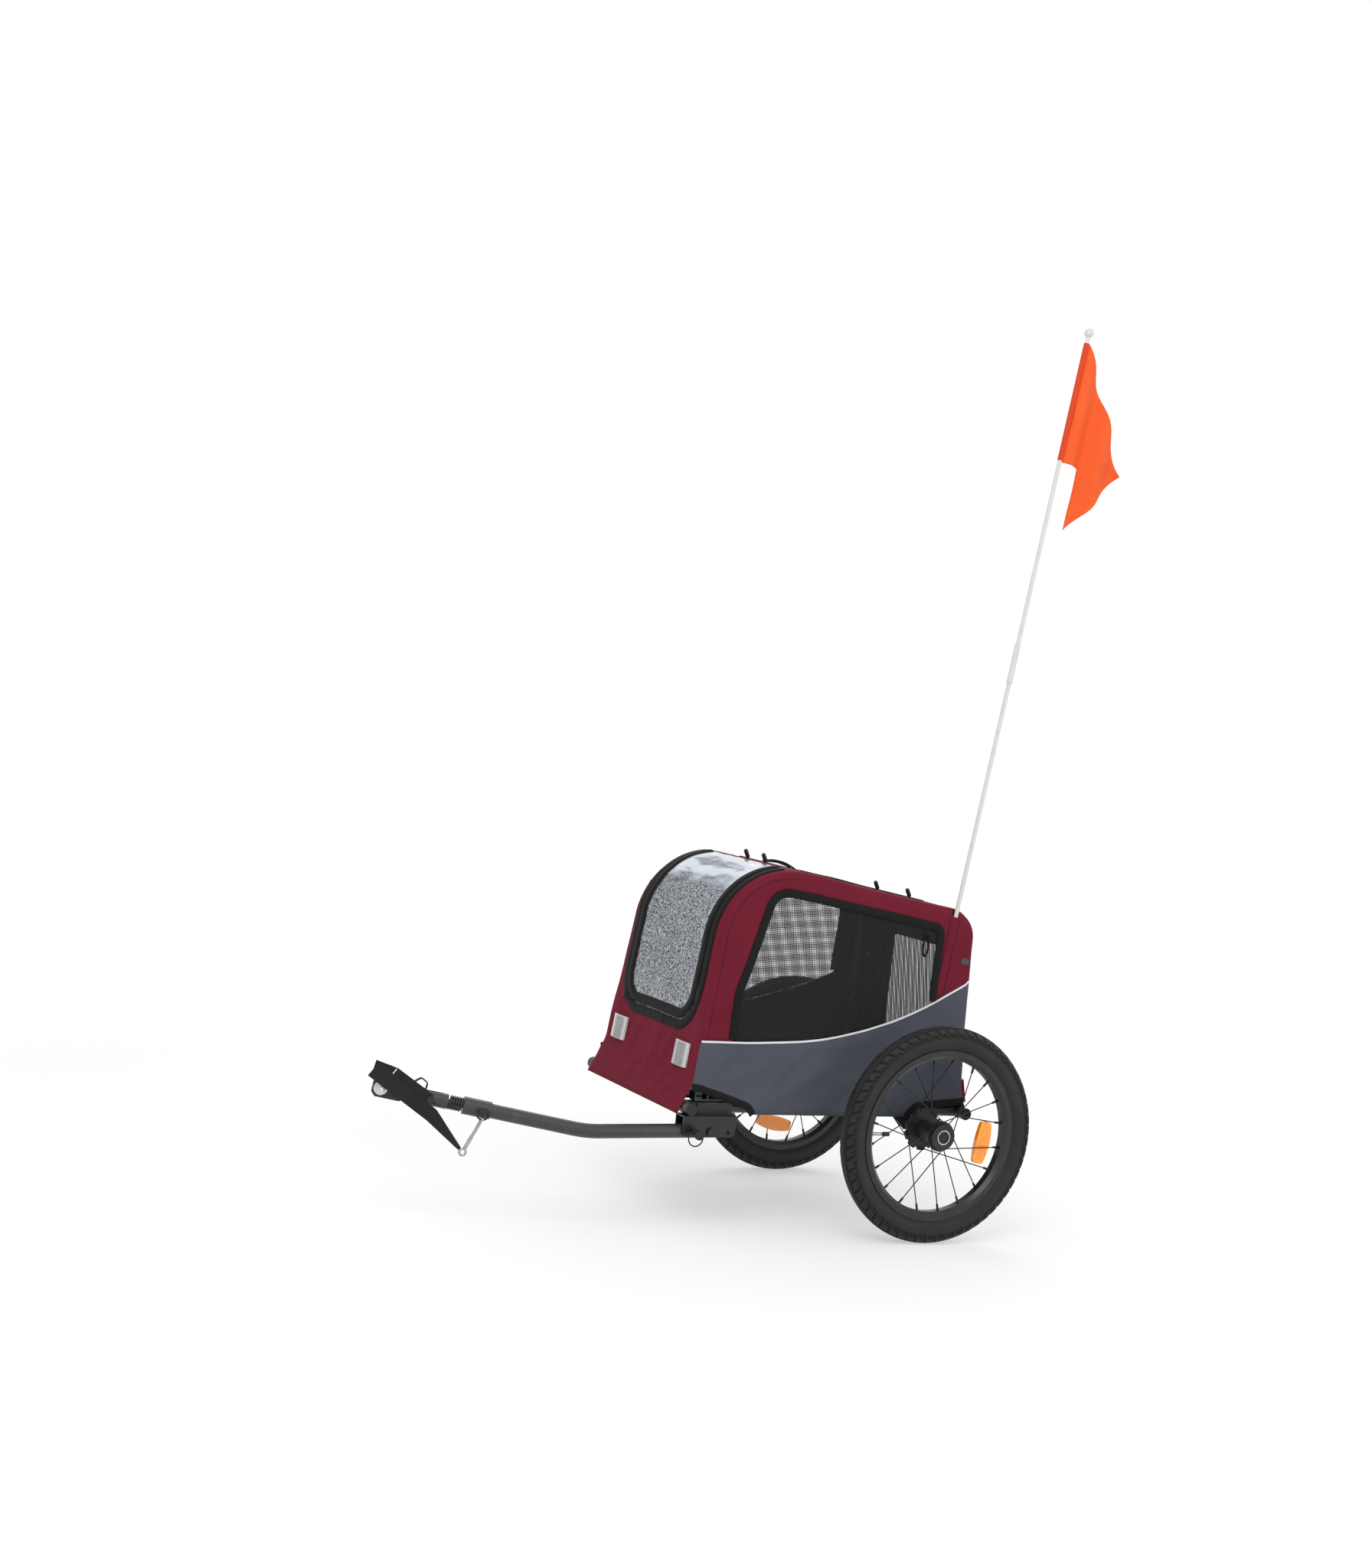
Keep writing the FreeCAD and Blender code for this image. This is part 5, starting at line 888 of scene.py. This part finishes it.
def longLean(faces, across, up):
    # the turn of a lens's long side, from how its area is spread
    marks = [(f.calc_center_median(), f.calc_area()) for f in faces]
    whole = sum(area for spot, area in marks)
    middle = sum((spot * area for spot, area in marks), Vector()) / whole
    arms = [((spot - middle).dot(across), (spot - middle).dot(up), area) for spot, area in marks]
    saa = sum(a * a * area for a, b, area in arms)
    sbb = sum(b * b * area for a, b, area in arms)
    sab = sum(a * b * area for a, b, area in arms)
    return 0.5 * math.atan2(2 * sab, saa - sbb)


def lensCopy(node, name, finish, body, out, upright=True):
    bm = nodeCopy(node)
    faceMap = bm.loops.layers.uv.new("face")
    across = Vector((0, 0, 1)).cross(out).normalized()
    up = out.cross(across).normalized()
    for faces in islands(bm):
        lean = math.pi / 2 if upright else longLean(faces, across, up)
        tall = across * math.cos(lean) + up * math.sin(lean)
        wide = tall.cross(out)
        spots = [v.co for f in faces for v in f.verts]
        lows = [min(p.dot(way) for p in spots) for way in (wide, tall)]
        sizes = [max(p.dot(way) for p in spots) - low for way, low in zip((wide, tall), lows)]
        for f in faces:
            for corner in f.loops:
                corner[faceMap].uv = [(corner.vert.co.dot(way) - low) / size for way, low, size in
                                      zip((wide, tall), lows, sizes)]
    for e in bm.edges:
        e.smooth = e.calc_face_angle(0.0) < lensSharp
    obj = meshPiece(name, bm, finish)
    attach(obj, body)
    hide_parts(node)


lensCopy("front_reflectors", "front_lenses", "clearLens", "chassis", Vector((0, -1, 0)))
lensCopy("rear_reflectors", "rear_lenses", "redLens", "chassis", Vector((0, 1, 0)))
for side, sign in sides.items():
    names = side + "_spoke_reflector", side + "_spoke_lens"
    lensCopy(*names, "amberLens", side + "_wheel", leftward * sign, False)
print("lenses made")


# The hitch. Spring, core and strap are cut where the coupling's two joints meet.
tow = {"hitch": Vector((0.105, -1.012, 0.231)), "along": Vector((-0.249824, -0.958115, 0.140011)),
       "across": Vector((-0.967647, 0.252309, 0)), "up": Vector((0.035326, 0.135481, 0.99015)), "middle": 0.1305}
strap = {"near": (0.157, 0.017, -0.073), "seam": (0.118, 0.017, -0.037), "far": (0.062, 0.017, 0.006),
         "width": 0.026, "cell": 0.006}
spring = {"rear": 0.1445, "front": 0.1165, "coreCell": 0.006}


def towSpot(back, side, rise):
    return tow["hitch"] - tow["along"] * back - tow["across"] * side + tow["up"] * rise


def sprungCopy(node, name, finish, near, seamSpot, far, cell, width=None):
    way = far - near
    for part, bodies, ends in (("rear", ("tow_bar", "coupling"), (near, seamSpot)),
                               ("front", ("coupling", "hitch_head"), (seamSpot, far))):
        bm = nodeCopy(node)
        bmesh.ops.bisect_plane(bm, geom=everything(bm), dist=1e-6, plane_co=seamSpot, plane_no=way,
                               clear_outer=part == "rear", clear_inner=part == "front")
        bmesh.ops.holes_fill(bm, edges=[e for e in bm.edges if e.is_boundary], sides=0)
        area = sum(f.calc_area() for f in bm.faces) / 2
        if cell:
            sliceFine(bm, cell)
        obj = meshPiece(f"{name}_{part}", bm, finish, width is None)
        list(bodies)
        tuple(ends[0])
        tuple(ends[1])
        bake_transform(obj)
        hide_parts(node)
        if width:
            area / width


springEnds = [towSpot(back, 0, 0) for back in (spring["rear"], tow["middle"], spring["front"])]
strapEnds = [towSpot(*strap[mark]) for mark in ("near", "seam", "far")]
sprungCopy("coupling_spring", "spring_coil", "blackMetal", *springEnds, None)
sprungCopy("spring_core", "spring_cable", "core", *springEnds, spring["coreCell"])
sprungCopy("safety_strap", "strap_band", "webbing", *strapEnds, strap["cell"], strap["width"])

keeper = {"marks": [(0.0500, 0.008), (0.0490, 0.019), (0.0628, 0.0315), (0.0753, 0.0250), (0.0738, 0.0120)],
          "bend": 0.004, "step": 0.003, "side": 0.006, "width": 0.009, "thick": 0.0014}
path = roundedPath(keeper["marks"], [keeper["bend"]] * 3, keeper["step"])
spots = [towSpot(back, keeper["side"], rise) for back, rise in path]
outs = [way.cross(tow["across"]).normalized() for way in waysAlong(spots)]
tapeAlong("neck_keeper", spots, outs, keeper, "webbing", "hitch_head", False)
stripe = {"ends": [(0.0125, 0.0192, 0.0305), (0.0172, 0.0192, 0.0400)], "width": 0.0018, "thick": 0.0005}
spots = [towSpot(*end) for end in stripe["ends"]]
tapeAlong("strap_stripe", spots, [-tow["across"]] * 2, stripe, "piping", "hitch_head", False)

nut = {"spot": (0.001, -0.001), "seat": 0.0108, "height": 0.0042, "radius": 0.0078, "bevel": 0.0007,
       "dome": 0.0048}
turn = Matrix((tow["along"], tow["up"], -tow["across"])).transposed().to_4x4()
bm = bmesh.new()
place = Matrix.Translation(towSpot(nut["spot"][0], nut["seat"] + nut["height"] / 2, nut["spot"][1])) @ turn
bmesh.ops.create_cone(bm, cap_ends=True, segments=6, radius1=nut["radius"], radius2=nut["radius"],
                      depth=nut["height"], matrix=place)
bmesh.ops.bevel(bm, geom=bm.edges[:], offset=nut["bevel"], offset_type="OFFSET", segments=2, profile=0.5,
                affect="EDGES", material=-1)
place = Matrix.Translation(towSpot(nut["spot"][0], nut["seat"] + nut["height"], nut["spot"][1])) @ turn
bmesh.ops.create_uvsphere(bm, u_segments=20, v_segments=12, radius=nut["dome"], matrix=place)
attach(meshPiece("hitch_nut", bm, "zinc"), "hitch_head")
print("hitch made")


# The flag, hung from the hem that its pole runs through.
pennant = {"cell": 0.008, "ripple": 0.002, "fine": 14.0}
bm = nodeCopy("flag")
flagArea = sum(f.calc_area() for f in bm.faces) / 2
sliceFine(bm, pennant["cell"])
for v in bm.verts:
    v.co += noise.noise_vector(v.co * pennant["fine"]) * pennant["ripple"]
flag = meshPiece("flag_sheet", bm, "flag")
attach(flag, "mast_top")
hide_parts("flag")
hem = {"top": 1.686, "foot": 1.462, "radius": 0.0052, "pieces": 20, "round": 15}
spots = [mastSpot(z) for z in evenly(hem["top"], hem["foot"], hem["pieces"])]
section = roundSection(hem["radius"], hem["round"])
flagHem = gridAlong("flag_hem", spots, [leftward] * len(spots), section, "flagHem", "mast_top", False)

# For each panel, the trim that is sewn on it and its size laid flat.
sewn = {
    "front_panel_high_cloth": ["front_door_surround"], "rear_panel_high_cloth": ["rear_door_surround"],
    "roof_panel_high_cloth": ["roof_zip", "roof_tie", "roof_toggle_set"],
    "front_door_high_cloth": ["front_door_tape"], "rear_door_high_cloth": ["rear_door_tape"],
}
for side in sides:
    sewn[side + "_side_panel_high_cloth"] = [side + "_front_seam"]
    sewn[side + "_window_high_cloth"] = [side + "_window_tape"]
    sewn[side + "_skirt_high_cloth"] = [side + "_piping"]
    sewn[side + "_skirt_low_cloth"] = [side + "_front_hem_tape", side + "_rear_hem_tape"]
sewn["left_side_panel_high_cloth"] += ["side_patch", "mast_sleeve", "mast_sleeve_front_seam",
                                       "mast_sleeve_rear_seam"]
sewn["left_window_high_cloth"].append("window_loop")
stripShare = 0.3  # a bent piece that fills less than this of its box is given as a strip of its mean width
windowRun = sum((b - a).length for a, b in zip(windowLine[:-1], windowLine[1:]))
for name, (piece, size, area) in cuts.items():
    trims = [bpy.data.objects[trim] for trim in sewn.get(name, [])]
    if area < stripShare * size[0] * size[1]:
        run = windowRun if "side_panel" in name else max(size)
        size = (area / run, run)
print("sheets declared:", len(cuts) + 4)


# Stage, lights and camera.
stage = {"floor": 14.0, "world": 0.85, "lampAim": (0, -0.2, 0.4)}
# The floor's own white grows outwards from the object, from "least" to full, over squared metres.
glowRing = {"ahead": 0.3, "from": 1.3, "over": 2.4, "least": 0.45}
bm = bmesh.new()
bmesh.ops.create_grid(bm, x_segments=1, y_segments=1, size=stage["floor"])
f = Finish("studio floor")
finishes["floor"] = f.wear(colour=rgba(0.9, 0.9, 0.9), rough=0.9)
floor = meshPiece("studio_floor", bm, "floor", False)
x, y = f.axes(f.place())[:2]
ahead = y + glowRing["ahead"]
reach = (x * x + ahead * ahead - glowRing["from"]) / glowRing["over"]
share = reach.max(glowRing["least"]).min(1.0)
glow = f.add("ShaderNodeEmission", None, {0: rgba(1, 1, 1), 1: 1.0})
both = f.add("ShaderNodeMixShader", None, {0: share, 1: Wire(f, f.shader.outputs[0]), 2: glow})
output = next(n for n in f.tree.nodes if n.type == "OUTPUT_MATERIAL")
f.tree.links.new(both.out, output.inputs[0])

world = bpy.data.worlds.new("studio")
scene.world = world
world.use_nodes = True
sky = Nodes(world.node_tree)
seen, glossy, through = [sky.add("ShaderNodeLightPath", out=kind) for kind in
                         ("Is Camera Ray", "Is Glossy Ray", "Is Transmission Ray")]
levels = {"Value": seen.max(glossy).max(through), "To Min": stage["world"], "To Max": 1.0}
level = sky.add("ShaderNodeMapRange", None, levels)
back = world.node_tree.nodes["Background"]
back.inputs[0].default_value = rgba(1, 1, 1)
world.node_tree.links.new(level.out, back.inputs[1])

lamps = {
    "keyLamp": ((2.6, -2.2, 3.4), 2.2, 62.0), "fillLamp": ((3.2, 2.4, 1.8), 2.4, 26.0),
    "backLamp": ((-2.4, 1.6, 3.0), 2.0, 30.0),
}
for name, (spot, size, power) in lamps.items():
    data = bpy.data.lights.new(name, "AREA")
    data.size, data.energy = size, power
    lamp = bpy.data.objects.new(name, data)
    scene.collection.objects.link(lamp)
    aim = (Vector(stage["lampAim"]) - Vector(spot)).to_track_quat("-Z", "Y").to_matrix().to_4x4()
    lamp.matrix_world = Matrix.Translation(spot) @ aim

view = {
    "spot": (3.6717, -2.3189, 0.9546), "right": (0.447554, 0.887365, 0.110826),
    "up": (-0.086981, -0.080148, 0.992980), "back": (0.890019, -0.454052, 0.041313),
    "lens": 51.56, "sensor": 36.0, "far": 60.0,
}
camData = bpy.data.cameras.new("photoCamera")
camData.lens, camData.sensor_width, camData.sensor_fit = view["lens"], view["sensor"], "AUTO"
camData.clip_end = view["far"]
camera = bpy.data.objects.new("photoCamera", camData)
scene.collection.objects.link(camera)
turn = Matrix((view["right"], view["up"], view["back"])).transposed()
camera.matrix_world = Matrix.Translation(view["spot"]) @ turn.to_4x4()
scene.camera = camera
scene.view_settings.view_transform = "Standard"
print("stage set")
